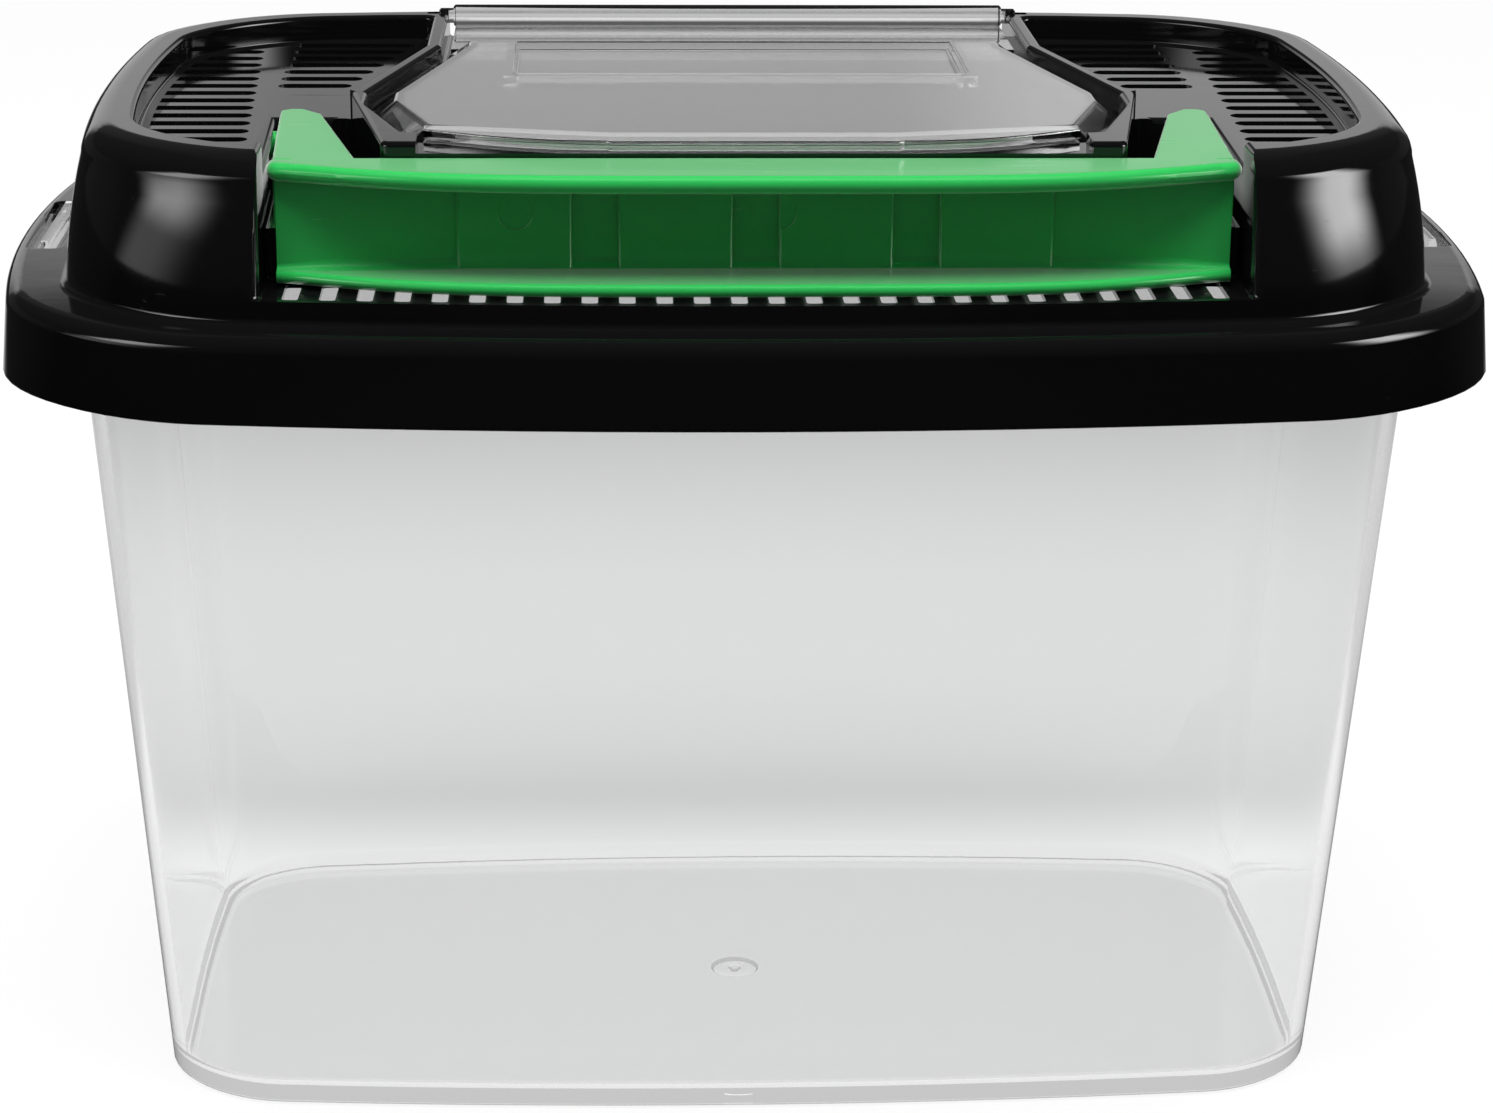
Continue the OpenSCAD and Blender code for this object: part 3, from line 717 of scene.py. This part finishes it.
def arms_outline(z, flare):
    """Handle bay and both arm pits in one, seen from above, at height z."""
    corner_r = 1.4
    mark_y = -60.0
    inside = softened(
        [(BAY_HALF_W, mark_y), (BAY_HALF_W, BAY_BACK), (PIT_BACK_X, PIT_BACK), (PIT_INNER_X[1], PIT_BACK),
         (PIT_INNER_X[0], BAY_BACK), (0.0, BAY_BACK), (0.0, mark_y)],
        corner_r,
    )
    # Only the arcs at the pit's corners and at the bay's back wall are used.
    kept = [p for p in inside if p[1] > mark_y + 1 and p[0] > 2.0]
    wall = BAY_HALF_W + BAY_EDGE_R
    half = [(wall, OPEN_FRONT)]
    half += [(wall - BAY_EDGE_R * s, mark_y - BAY_EDGE_R * c) for s, c in quarter_turn(5)]
    half += kept
    # The rounded front edges are grown at the mark and then moved to the hood's front face.
    to_front = (bay_front(z) + BAY_EDGE_R) - mark_y
    moved = []
    for x, y in grown(mirrored(half), flare):
        at_edge = OPEN_FRONT + 1 < y < mark_y + 1 and abs(x) > 60.0
        moved.append((x, y + to_front if at_edge else y))
    return moved


def arms_tool():
    top = HOOD_Z
    rings = []
    for s, c in quarter_turn(3):
        rings.append(at(arms_outline(PIT_FLOOR, -FOOT_R * (1 - s)), PIT_FLOOR + FOOT_R * (1 - c)))
    for s, c in quarter_turn(4):
        rings.append(at(arms_outline(top, LIP_R * (1 - c)), top - LIP_R * (1 - s)))
    rings.append(at(arms_outline(top, LIP_R), top + CLEAR_ABOVE))
    return lofted("arms_tool", rings)


def slot_tree():
    """Geometry Nodes tree: a column of round-ended slot tools, with length and shift set row by row."""
    tree = bpy.data.node_groups.new("slot_column", "GeometryNodeTree")
    sockets = (
        ("Count", "NodeSocketInt"), ("Pitch", "NodeSocketFloat"), ("Width", "NodeSocketFloat"),
        ("Left End", "NodeSocketFloat"), ("Left Step", "NodeSocketFloat"), ("Right End", "NodeSocketFloat"),
        ("Right Step", "NodeSocketFloat"), ("First Row", "NodeSocketFloat"), ("Bottom", "NodeSocketFloat"),
        ("Height", "NodeSocketFloat"), ("Material", "NodeSocketMaterial"),
    )
    for name, kind in sockets:
        tree.interface.new_socket(name, in_out="INPUT", socket_type=kind)
    tree.interface.new_socket("Geometry", in_out="OUTPUT", socket_type="NodeSocketGeometry")
    given = node_of(tree, "NodeGroupInput").outputs
    link = tree.links.new
    # One slot tool of no length: a round prism whose left and right halves are marked -1 and 1.
    prism = node_of(tree, "GeometryNodeMeshCylinder")
    prism.inputs["Vertices"].default_value = 16
    link(math_node(tree, "MULTIPLY", given["Width"], 0.5), prism.inputs["Radius"])
    link(given["Height"], prism.inputs["Depth"])
    place = node_of(tree, "GeometryNodeInputPosition")
    axes = node_of(tree, "ShaderNodeSeparateXYZ")
    link(place.outputs[0], axes.inputs[0])
    sign = math_node(tree, "SIGN", math_node(tree, "ADD", axes.outputs["X"], 0.000001), 0.0)
    marked = node_of(tree, "GeometryNodeStoreNamedAttribute", data_type="FLOAT", domain="POINT")
    marked.inputs["Name"].default_value = "slot_end"
    link(prism.outputs["Mesh"], marked.inputs["Geometry"])
    link(sign, marked.inputs["Value"])
    # One point for each row, which keeps its row number.
    rows = node_of(tree, "GeometryNodeMeshLine", mode="OFFSET", count_mode="TOTAL")
    link(given["Count"], rows.inputs["Count"])
    step = node_of(tree, "ShaderNodeCombineXYZ")
    link(math_node(tree, "MULTIPLY", given["Pitch"], -1.0), step.inputs["Y"])
    link(step.outputs[0], rows.inputs["Offset"])
    index = node_of(tree, "GeometryNodeInputIndex")
    numbered = node_of(tree, "GeometryNodeStoreNamedAttribute", data_type="FLOAT", domain="POINT")
    numbered.inputs["Name"].default_value = "slot_row"
    link(rows.outputs["Mesh"], numbered.inputs["Geometry"])
    link(index.outputs[0], numbered.inputs["Value"])
    copies = node_of(tree, "GeometryNodeInstanceOnPoints")
    link(numbered.outputs["Geometry"], copies.inputs["Points"])
    link(marked.outputs["Geometry"], copies.inputs["Instance"])
    real = node_of(tree, "GeometryNodeRealizeInstances")
    link(copies.outputs["Instances"], real.inputs["Geometry"])
    # Each half moves out to its own end of the slot.
    row = node_of(tree, "GeometryNodeInputNamedAttribute", data_type="FLOAT")
    row.inputs["Name"].default_value = "slot_row"
    end = node_of(tree, "GeometryNodeInputNamedAttribute", data_type="FLOAT")
    end.inputs["Name"].default_value = "slot_end"
    ends = []
    for side in ("Left", "Right"):
        moved = math_node(tree, "MULTIPLY", row.outputs[0], given[side + " Step"])
        ends.append(math_node(tree, "ADD", moved, given[side + " End"]))
    to_right = node_of(tree, "ShaderNodeMapRange")
    to_right.inputs["From Min"].default_value = -1.0
    link(end.outputs[0], to_right.inputs["Value"])
    link(ends[0], to_right.inputs["To Min"])
    link(ends[1], to_right.inputs["To Max"])
    shift = node_of(tree, "ShaderNodeCombineXYZ")
    link(to_right.outputs[0], shift.inputs["X"])
    link(given["First Row"], shift.inputs["Y"])
    link(given["Bottom"], shift.inputs["Z"])
    placed = node_of(tree, "GeometryNodeSetPosition")
    link(real.outputs[0], placed.inputs["Geometry"])
    link(shift.outputs[0], placed.inputs["Offset"])
    finish = node_of(tree, "GeometryNodeSetMaterial")
    link(placed.outputs[0], finish.inputs["Geometry"])
    link(given["Material"], finish.inputs["Material"])
    link(finish.outputs[0], node_of(tree, "NodeGroupOutput").inputs[0])
    return tree


SLOT_TREE = slot_tree()


def slot_column(name, values):
    """Slot tools from the tree, as a plain mesh, with sizes given in millimetres."""
    mesh = bpy.data.meshes.new(name)
    tool = bpy.data.objects.new(name, mesh)
    bpy.context.scene.collection.objects.link(tool)
    step = tool.modifiers.new("slots", "NODES")
    step.node_group = SLOT_TREE
    for item in SLOT_TREE.interface.items_tree:
        if item.item_type == "SOCKET" and item.in_out == "INPUT" and item.name in values:
            value = values[item.name]
            step[item.identifier] = value if item.name in ("Count", "Material") else value * MM
    bake(tool)
    return tool


def mirror_copy(tool):
    """Mirror image of a tool in the plane X = 0, with its faces still outwards."""
    mesh = tool.data.copy()
    mesh.transform(Matrix.Scale(-1, 4, (1, 0, 0)))
    mesh.flip_normals()
    made = bpy.data.objects.new(tool.name + "_left", mesh)
    bpy.context.scene.collection.objects.link(made)
    return made


def vent_slots():
    """Both columns of slots in the right tray, kept inside the tray's floor."""
    pitch = 6.25
    width = 3.8
    rows = 14
    inner_rows = 7
    first_y = 51.7
    edge_gap = 1.5
    edge_r = 21.0
    low = TRAY_Z - LID_WALL - 1
    both = {"Pitch": pitch, "Width": width, "Right Step": 0.0, "Bottom": low + 2, "Height": 4.0}
    outer = slot_column("outer_slots", {
        **both, "Count": rows, "First Row": first_y - pitch,
        "Left End": 79.2 + width / 2, "Left Step": -0.31, "Right End": 110.0,
    })
    half_w, half_d = (size - HOOD_LEAN - TRAY_MARGIN - edge_gap for size in HOOD_FOOT[:2])
    edge = outline(half_w, half_d, edge_r, *HOOD_BOW)
    combine(outer, slab("tray_floor", edge, low - 3, low + 7), "INTERSECT")
    inner = slot_column("inner_slots", {
        **both, "Count": inner_rows, "First Row": first_y,
        "Left End": 54.1 + width / 2, "Left Step": 1.4, "Right End": 74.4 - width / 2,
    })
    return outer, inner


def bow_behind(x):
    """How far the hood's bowed front lies behind its middle at x."""
    return HOOD_BOW[1] * (x / HOOD_FOOT[0]) ** 2


def bay_slots():
    """The row of slots through the floor of the handle bay."""
    pitch = 5.35
    width = 2.4
    count = 26
    edge = 1.4
    squareness = 0.45
    front_end = SLOTS_FRONT + width / 2
    back_end = BAY_BACK - edge - width / 2
    row = slot_column("bay_slots", {
        "Count": count, "Pitch": pitch, "Width": width, "First Row": pitch * (count - 1) / 2,
        "Left End": front_end, "Left Step": 0.0, "Right End": back_end, "Right Step": 0.0,
        "Bottom": BAY_FLOOR - LID_WALL / 2, "Height": LID_WALL + 2,
    })
    # The slots lie along Y, their round ends are squared, and the front ends follow the hood's bowed front.
    row.data.transform(Matrix.Rotation(math.radians(90), 4, "Z"))
    middle = (SLOTS_FRONT + BAY_BACK) / 2
    for vertex in row.data.vertices:
        x, y = vertex.co.x / MM, vertex.co.y / MM
        centre_x = (math.floor(x / pitch) + 0.5) * pitch
        centre_y = front_end if y < middle else back_end
        across = (x - centre_x) / width * 2
        along = (y - centre_y) / width * 2
        x = centre_x + math.copysign(abs(across) ** squareness, across) * width / 2
        y = centre_y + math.copysign(abs(along) ** squareness, along) * width / 2
        if y < middle:
            y += bow_behind(x)
        vertex.co.x, vertex.co.y = x * MM, y * MM
    return row


def rod_tool(name, radius, x1, x2, y, z, edge=0.0, steps=32):
    """Rod along X, with rounded ends where edge is set."""
    profile = [(radius - edge, x1), (radius, x1 + edge), (radius, x2 - edge), (radius - edge, x2)]
    return revolved(name, profile if edge else [(radius, x1), (radius, x2)], (0, y, z), "X", steps)


PIVOT = (-21.3, 148.6)
PIVOT_R = 2.0
HINGE = (59.8, 154.9)
HINGE_R = 1.3
PIN_GAP = 0.08


def hollow_out(lid):
    """Takes out the inside of the lid, but keeps a wall all round each sunk space."""
    hollow = lid_inside()
    wall = LID_WALL
    bay = mirrored([(BAY_HALF_W, OPEN_FRONT), (BAY_HALF_W, BAY_BACK)])
    pits = mirrored([
        (BAY_HALF_W, OPEN_FRONT), (BAY_HALF_W, BAY_BACK), (PIT_BACK_X, PIT_BACK),
        (PIT_INNER_X[1], PIT_BACK), (PIT_INNER_X[0], BAY_BACK),
    ])
    # A hair's difference keeps the faces of neighbouring spaces out of one plane.
    wells = (
        (tray_outline(0), wall, TRAY_Z),
        (flipped(tray_outline(0)), wall, TRAY_Z),
        (pits, wall + HAIR, PIT_FLOOR),
        (bay, wall, BAY_FLOOR),
        (hatch_corners(SEAT_BACK), RAIL_T, SEAT_Z + HAIR),
    )
    for points, around, floor in wells:
        combine(hollow, slab("well", grown(points, around), floor - wall, HOOD_Z + 1), "DIFFERENCE")
    combine(lid, hollow, "DIFFERENCE")


def open_columns(lid):
    """Beside and behind each pit the tray's floor runs on, and it rounds over into the pit and the bay."""
    edge_r = 1.0
    floor = TRAY_Z + HAIR
    front_y = min(y for x, y in tray_outline(0))
    beside = [(70.5, front_y), (76.5, front_y), (76.5, -10.6), (61.2, -10.6), (60.95, -14.0), (70.5, -14.0)]
    wall_x = BAY_HALF_W + HAIR
    brink = [(64.0, front_y + 1), (wall_x, front_y + 1), (PIT_BACK_X, PIT_BACK), (64.0, PIT_BACK)]
    for side in (-1, 1):
        points = beside if side > 0 else flipped(beside)
        combine(lid, slab("beside", points, floor, HOOD_Z + 1), "DIFFERENCE")
        points = brink if side > 0 else flipped(brink)
        rings = [at(grown(points, edge_r * (1 - c)), floor - edge_r * (1 - s)) for s, c in quarter_turn(5)]
        rings.append(at(grown(points, edge_r), TRAY_Z + 2))
        combine(lid, lofted("brink", rings), "DIFFERENCE")


def open_hatch_seat(lid):
    """Sinks the hatch's seat, cuts the feeding opening through it and lowers the bar in front of it."""
    seat = softened(hatch_corners(SEAT_BACK), 1.0, 3)
    combine(lid, pocket("seat_tool", seat, SEAT_Z, HOOD_Z), "DIFFERENCE")
    opening = softened(grown(hatch_corners(57.9), -3.2), 1.5, 3)
    combine(lid, slab("opening_tool", opening, SEAT_Z - LID_WALL - 1, SEAT_Z + 1), "DIFFERENCE")
    bar = mirrored([(49.1, -54.5), (49.1, -43.0)])
    combine(lid, slab("bar_tool", bar, BAR_TOP, HOOD_Z + 1), "DIFFERENCE")


def cut_slots(lid):
    """Thins the bay's floor and cuts the slots of the bay and of both trays."""
    step_x = 6.99
    steps = 10
    floor_t = 0.8
    thin = [(k * step_x, SLOTS_FRONT + bow_behind(k * step_x)) for k in range(1, steps + 1)]
    thin = mirrored(thin + [(steps * step_x, -50.9)])
    combine(lid, slab("thin_floor", thin, BAY_FLOOR - LID_WALL - 1, BAY_FLOOR - floor_t), "DIFFERENCE")
    for tool in vent_slots():
        combine(lid, mirror_copy(tool), "DIFFERENCE")
        combine(lid, tool, "DIFFERENCE")
    combine(lid, bay_slots(), "DIFFERENCE")


def cut_side_openings(lid):
    """On each side: the window over the tank's lug, the handle's pivot bore and the hatch's hinge bore."""
    for side in (-1, 1):
        window = [(106.3, -16.8), (111.5, -16.8), (111.5, 16.8), (106.3, 16.8)]
        window = softened(window if side > 0 else flipped(window), 1.2, 4)
        low = LEDGE_Z - LID_WALL - 1
        combine(lid, pocket("lug_window", window, low, LEDGE_Z, foot_r=0.01, lip_r=0.4), "DIFFERENCE")
        ends = sorted((side * (BAY_HALF_W - 1), side * (PIT_BACK_X + LID_WALL + 1)))
        combine(lid, rod_tool("pivot_bore", PIVOT_R + PIN_GAP, *ends, *PIVOT), "DIFFERENCE")
        ends = sorted((side * 44.5, side * 52.1))
        combine(lid, rod_tool("hinge_bore", HINGE_R + PIN_GAP, *ends, *HINGE), "DIFFERENCE")


BLACK_PLASTIC = moulded(
    "gloss_black", colour=(0.003, 0.003, 0.0033), roughness=0.045, patches=0.05, hairlines=0.12,
    bump=0.05, ior=1.52,
)

lid = lid_outside()
hollow_out(lid)
tray_tool = pocket("tray_tool", tray_outline(1.6), TRAY_Z, HOOD_Z)
combine(lid, mirror_copy(tray_tool), "DIFFERENCE")
combine(lid, tray_tool, "DIFFERENCE")
combine(lid, bay_tool(), "DIFFERENCE")
combine(lid, arms_tool(), "DIFFERENCE")
open_columns(lid)
open_hatch_seat(lid)
cut_slots(lid)
cut_side_openings(lid)
polish(lid)
lid.data.materials.clear()
lid.data.materials.append(BLACK_PLASTIC)
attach(lid, "lid")
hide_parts("lid")


# Hatch
# Shallow clear cap with sloped sides and a finger tab, moulded in one with two raised wings, the plate
# between them and the hinge rod, whose pins snap into the rails of the lid.
HATCH_TOP = 155.5
HATCH_T = 1.6
HATCH_GAP = 0.7
FOOT_Z = 150.55
BEVEL_W = 4.0
PLATE_TOP = 153.5
WING_Y = 35.8
TROUGH = (36.0, 1.4)
ROD_HALF = 47.6
ROD_R = 1.9
PINS_HALF = 50.1


def mixed(first, second, share):
    """Outline that lies between two others."""
    return [(a[0] + (b[0] - a[0]) * share, a[1] + (b[1] - a[1]) * share) for a, b in zip(first, second)]


def hatch_cap(name, inset, low, top):
    """The hatch's sloped cap: its outside, or with an inset its hollow."""
    foot = softened(grown(hatch_corners(WING_Y), -HATCH_GAP - inset), 1.2, 4)
    crown = softened(grown(hatch_corners(WING_Y), -HATCH_GAP - BEVEL_W - inset * 0.6), 1.0, 4)
    step = FOOT_Z + HATCH_T - inset
    soft = 0.35
    return lofted(name, [
        at(foot, low),
        at(foot, step - soft),
        at(mixed(foot, crown, 0.08), step + soft),
        at(mixed(foot, crown, 0.92), top - soft),
        at(crown, top - soft * 0.25),
        at(grown(crown, -soft), top),
    ])


def lip_outline():
    """Front lip with its finger tab, which curves back towards its ends."""
    tab = 21.5
    reach = 48.4
    front = -52.8
    bow = 8.8
    steps = 12
    half = [(tab - 0.6, front - 0.6), (tab, front - 0.1)]
    for k in range(steps + 1):
        half.append((tab + 0.2 + (reach - tab - 0.2) * k / steps, front + bow * (k / steps) ** 2))
    half += [(reach, -41.2), (tab, -43.6)]
    return mirrored(half)


def rounded_slab(name, points, low, high, edge, steps=3):
    """Flat piece with rounded upper and lower edges."""
    rings = [at(grown(points, -edge * (1 - s)), low + edge * (1 - c)) for s, c in quarter_turn(steps)]
    rings += [at(grown(points, -edge * (1 - c)), high - edge * (1 - s)) for s, c in quarter_turn(steps)]
    return lofted(name, rings)


def make_hatch():
    hatch = hatch_cap("hatch_body", 0.0, FOOT_Z, HATCH_TOP)
    combine(hatch, rounded_slab("lip", lip_outline(), HATCH_TOP - HATCH_T, HATCH_TOP, 0.3), "UNION")
    hollow = hatch_cap("hatch_hollow", HATCH_T, FOOT_Z - 1, HATCH_TOP - HATCH_T)
    half_w, front = TROUGH
    kept = mirrored([(half_w + HATCH_T, front - HATCH_T), (half_w + HATCH_T, HINGE[0])])
    combine(hollow, slab("kept", kept, PLATE_TOP - HATCH_T, HATCH_TOP + 1), "DIFFERENCE")
    combine(hatch, hollow, "DIFFERENCE")
    trough = softened(mirrored([(half_w, front), (half_w, HINGE[0] + 5)]), 1.6, 4)
    combine(hatch, pocket("trough", trough, PLATE_TOP, HATCH_TOP, 0.6, 0.5), "DIFFERENCE")
    plate = mirrored([(ROD_HALF - 0.4, WING_Y - HATCH_T), (ROD_HALF - 0.4, HINGE[0])])
    combine(hatch, slab("plate", plate, PLATE_TOP - HATCH_T, PLATE_TOP), "UNION")
    combine(hatch, rod_tool("rod", ROD_R, -ROD_HALF, ROD_HALF, *HINGE, edge=0.3), "UNION")
    combine(hatch, rod_tool("pins", HINGE_R, -PINS_HALF, PINS_HALF, *HINGE, edge=0.3), "UNION")
    return hatch


HATCH_PLASTIC = moulded(
    "clear_hatch", colour=(0.985, 0.988, 0.988), roughness=0.006, patches=0.015, hairlines=0.05,
    bump=0.05, ior=1.57, clear=True, coat=1.0,
)

hatch = make_hatch()
polish(hatch, 32)
hatch.data.materials.clear()
hatch.data.materials.append(HATCH_PLASTIC)
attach(hatch, "hatch")
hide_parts("hatch")


# Handle
# Bright green channel grip, open to the front, with four finger pads on its web and a flat arm on each end.
# The arms carry moulded pivot pins that turn in the walls of the pits.
GRIP_HALF = 70.4
GRIP_FRONT = -68.1
GRIP_BACK = -54.3
GRIP_BULGE = 11.6
GRIP_LOW = 135.7
HANDLE_TOP = 153.3
HANDLE_T = 1.9
TOP_BEAD = 1.35
ARM_H = 9.4
BOSS_R = 2.35


def grip_front(x):
    """Front edge of both flanges, bowed in plan."""
    share = abs(x) / GRIP_HALF
    return GRIP_FRONT + GRIP_BULGE * share ** 4 - 1.9 * share ** 16


def grip_section(x):
    """Channel section at x: lips rounded, inner corners filleted, web curving forward near the ends."""
    share = abs(x) / GRIP_HALF
    front = grip_front(x)
    room = GRIP_BACK - HANDLE_T - front
    swell = 1 / (1 / (5.0 * share ** 6 + 0.0001) + 1 / (0.4 * room))
    web = GRIP_BACK - HANDLE_T - swell
    lip = HANDLE_T / 2
    reach = min(lip, (web - front) * 0.45)
    nose = min(TOP_BEAD, (web - front) * 0.45)
    neck = min(1.0, (web - front) * 0.12)
    fillet = min(1.6, (web - front) * 0.4)
    edge = 0.5
    low, high = GRIP_LOW, HANDLE_TOP
    points = [(GRIP_BACK - edge * (1 - s), low + edge * (1 - c)) for s, c in reversed(quarter_turn(3))]
    turns = [math.pi * k / 8 for k in range(9)]
    points += [(front + reach - reach * math.sin(a), low + lip - lip * math.cos(a)) for a in turns]
    points += [(web - fillet * (1 - s), low + HANDLE_T + fillet * (1 - c)) for s, c in quarter_turn(4)]
    points += [(web - fillet * (1 - c), high - HANDLE_T - fillet * (1 - s)) for s, c in quarter_turn(4)]
    # The top flange ends in a thicker bead.
    points.append((front + nose + neck, high - HANDLE_T))
    points.append((front + nose + neck / 2, high - TOP_BEAD - HANDLE_T / 2))
    points += [(front + nose - nose * math.sin(a), high - TOP_BEAD - TOP_BEAD * math.cos(a)) for a in turns]
    points += [(GRIP_BACK - edge * (1 - s), high - edge * (1 - c)) for s, c in quarter_turn(3)]
    return [(x, y, z) for y, z in points]


def pad_tree():
    """Geometry Nodes tree: a row of finger pads with round-cornered faces, spaced by a pitch."""
    tree = bpy.data.node_groups.new("finger_pads", "GeometryNodeTree")
    sockets = (
        ("Count", "NodeSocketInt"), ("Pitch", "NodeSocketFloat"), ("Size", "NodeSocketVector"),
        ("Centre", "NodeSocketVector"), ("Material", "NodeSocketMaterial"),
    )
    for name, kind in sockets:
        tree.interface.new_socket(name, in_out="INPUT", socket_type=kind)
    tree.interface.new_socket("Geometry", in_out="OUTPUT", socket_type="NodeSocketGeometry")
    given = node_of(tree, "NodeGroupInput").outputs
    link = tree.links.new
    pad = node_of(tree, "GeometryNodeMeshCube")
    link(given["Size"], pad.inputs["Size"])
    rows = node_of(tree, "GeometryNodeMeshLine", mode="OFFSET", count_mode="TOTAL")
    link(given["Count"], rows.inputs["Count"])
    half = math_node(tree, "SUBTRACT", given["Count"], 1.0)
    half = math_node(tree, "MULTIPLY", math_node(tree, "MULTIPLY", half, given["Pitch"]), -0.5)
    start = node_of(tree, "ShaderNodeCombineXYZ")
    link(half, start.inputs["X"])
    first = node_of(tree, "ShaderNodeVectorMath", operation="ADD")
    link(start.outputs[0], first.inputs[0])
    link(given["Centre"], first.inputs[1])
    link(first.outputs[0], rows.inputs["Start Location"])
    step = node_of(tree, "ShaderNodeCombineXYZ")
    link(given["Pitch"], step.inputs["X"])
    link(step.outputs[0], rows.inputs["Offset"])
    copies = node_of(tree, "GeometryNodeInstanceOnPoints")
    link(rows.outputs["Mesh"], copies.inputs["Points"])
    link(pad.outputs["Mesh"], copies.inputs["Instance"])
    real = node_of(tree, "GeometryNodeRealizeInstances")
    link(copies.outputs["Instances"], real.inputs["Geometry"])
    finish = node_of(tree, "GeometryNodeSetMaterial")
    link(real.outputs[0], finish.inputs["Geometry"])
    link(given["Material"], finish.inputs["Material"])
    link(finish.outputs[0], node_of(tree, "NodeGroupOutput").inputs[0])
    return tree


def finger_pads():
    """The four finger pads, a little sunk into the web, with rounded edges."""
    tree = pad_tree()
    made = bpy.data.objects.new("pads", bpy.data.meshes.new("pads"))
    bpy.context.scene.collection.objects.link(made)
    step = made.modifiers.new("pads", "NODES")
    step.node_group = tree
    thick = 1.2
    tall = HANDLE_TOP - GRIP_LOW - 2 * HANDLE_T
    values = {
        "Count": 4,
        "Pitch": 23.3 * MM,
        "Size": (16.5 * MM, (thick + 1.0) * MM, (tall + 1.0) * MM),
        "Centre": (0.0, (GRIP_BACK - HANDLE_T - thick / 2 + 0.5) * MM, (GRIP_LOW + HANDLE_TOP) / 2 * MM),
    }
    for item in tree.interface.items_tree:
        if item.item_type == "SOCKET" and item.in_out == "INPUT" and item.name in values:
            step[item.identifier] = values[item.name]
    bake(made)
    edges = made.modifiers.new("edges", "BEVEL")
    edges.width = 0.45 * MM
    edges.segments = 3
    bake(made)
    return made


def grip():
    """The channel between the arms, with its pads and the marks of two ejector pins."""
    stations = 40
    rings = []
    for k in range(stations + 1):
        rings.append(grip_section(GRIP_HALF * math.sin(math.pi / 2 * (2 * k / stations - 1)) * 0.9999))
    made = lofted("handle_body", rings)
    combine(made, finger_pads(), "UNION")
    for x in (-34.75, 3.3):
        mark = revolved("ejector_mark", ((2.6, 0.0), (2.6, 0.35), (2.3, 0.5)))
        mark.data.transform(Matrix.Rotation(math.radians(-90), 4, "X"))
        mark.data.transform(Matrix.Translation(Vector((x, GRIP_BACK - HANDLE_T - 1.2 - 0.2, 145.9)) * MM))
        combine(made, mark, "DIFFERENCE")
    return made


def add_tip(handle, side):
    """Cuts the channel off short of the top flange, and rounds the flange's end in plan and at its edges."""
    tip_r = 2.6
    under = HANDLE_TOP - 2 * TOP_BEAD - 0.02
    for start, low, high in ((69.2, GRIP_LOW - 1, under), (66.9, under - 0.02, 160.0)):
        end = [(start, -70.0), (72.0, -70.0), (72.0, -50.0), (start, -50.0)]
        combine(handle, slab("end", end if side > 0 else flipped(end), low, high), "DIFFERENCE")
    tip = [(x, grip_front(x)) for x in (60.0, 62.0, 64.0, 66.0, GRIP_HALF - tip_r)]
    turn_y = tip[-1][1] + tip_r
    tip += [(GRIP_HALF - tip_r * (1 - s), turn_y - tip_r * c) for s, c in quarter_turn(6)[1:]]
    tip = [(x, y) for x, y in tip if y < GRIP_BACK - 0.3] + [(GRIP_HALF, GRIP_BACK), (60.0, GRIP_BACK)]
    tip = tip if side > 0 else flipped(tip)
    low = HANDLE_TOP - 2 * TOP_BEAD
    combine(handle, rounded_slab("tip", tip, low, HANDLE_TOP, TOP_BEAD - HAIR, 5), "UNION")


def add_arm(handle, side):
    """Flat arm with a stiffening rib, a small boss and the pivot pin."""
    plate = [(57.6, -55.4), (69.6, -55.4), (71.3, -18.2), (69.9, -16.9), (67.9, -16.9), (64.9, -20.9)]
    plate = softened(plate if side > 0 else flipped(plate), 0.9, 3)
    combine(handle, rounded_slab("arm", plate, HANDLE_TOP - HANDLE_T, HANDLE_TOP, 0.45), "UNION")
    rib = [(67.9, -55.4), (69.6, -55.4), (71.2, -21.3), (69.4, -21.3)]
    rib = rib if side > 0 else flipped(rib)
    combine(handle, rounded_slab("arm_rib", rib, HANDLE_TOP - ARM_H, HANDLE_TOP - 0.1, 0.3), "UNION")
    ends = sorted((side * 68.1, side * 71.35))
    combine(handle, rod_tool("boss", BOSS_R, *ends, *PIVOT, edge=0.3), "UNION")
    ends = sorted((side * 70.0, side * 73.85))
    combine(handle, rod_tool("pin", PIVOT_R, *ends, *PIVOT, edge=0.3), "UNION")


GREEN_PLASTIC = moulded(
    "gloss_green", colour=(0.014, 0.34, 0.062), roughness=0.2, patches=0.05, hairlines=0.06,
    bump=0.02, ior=1.72, sheen=1.0,
)

handle = grip()
for side in (-1, 1):
    add_tip(handle, side)
for side in (-1, 1):
    add_arm(handle, side)
polish(handle, 34)
handle.data.materials.clear()
handle.data.materials.append(GREEN_PLASTIC)
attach(handle, "handle")
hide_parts("handle")
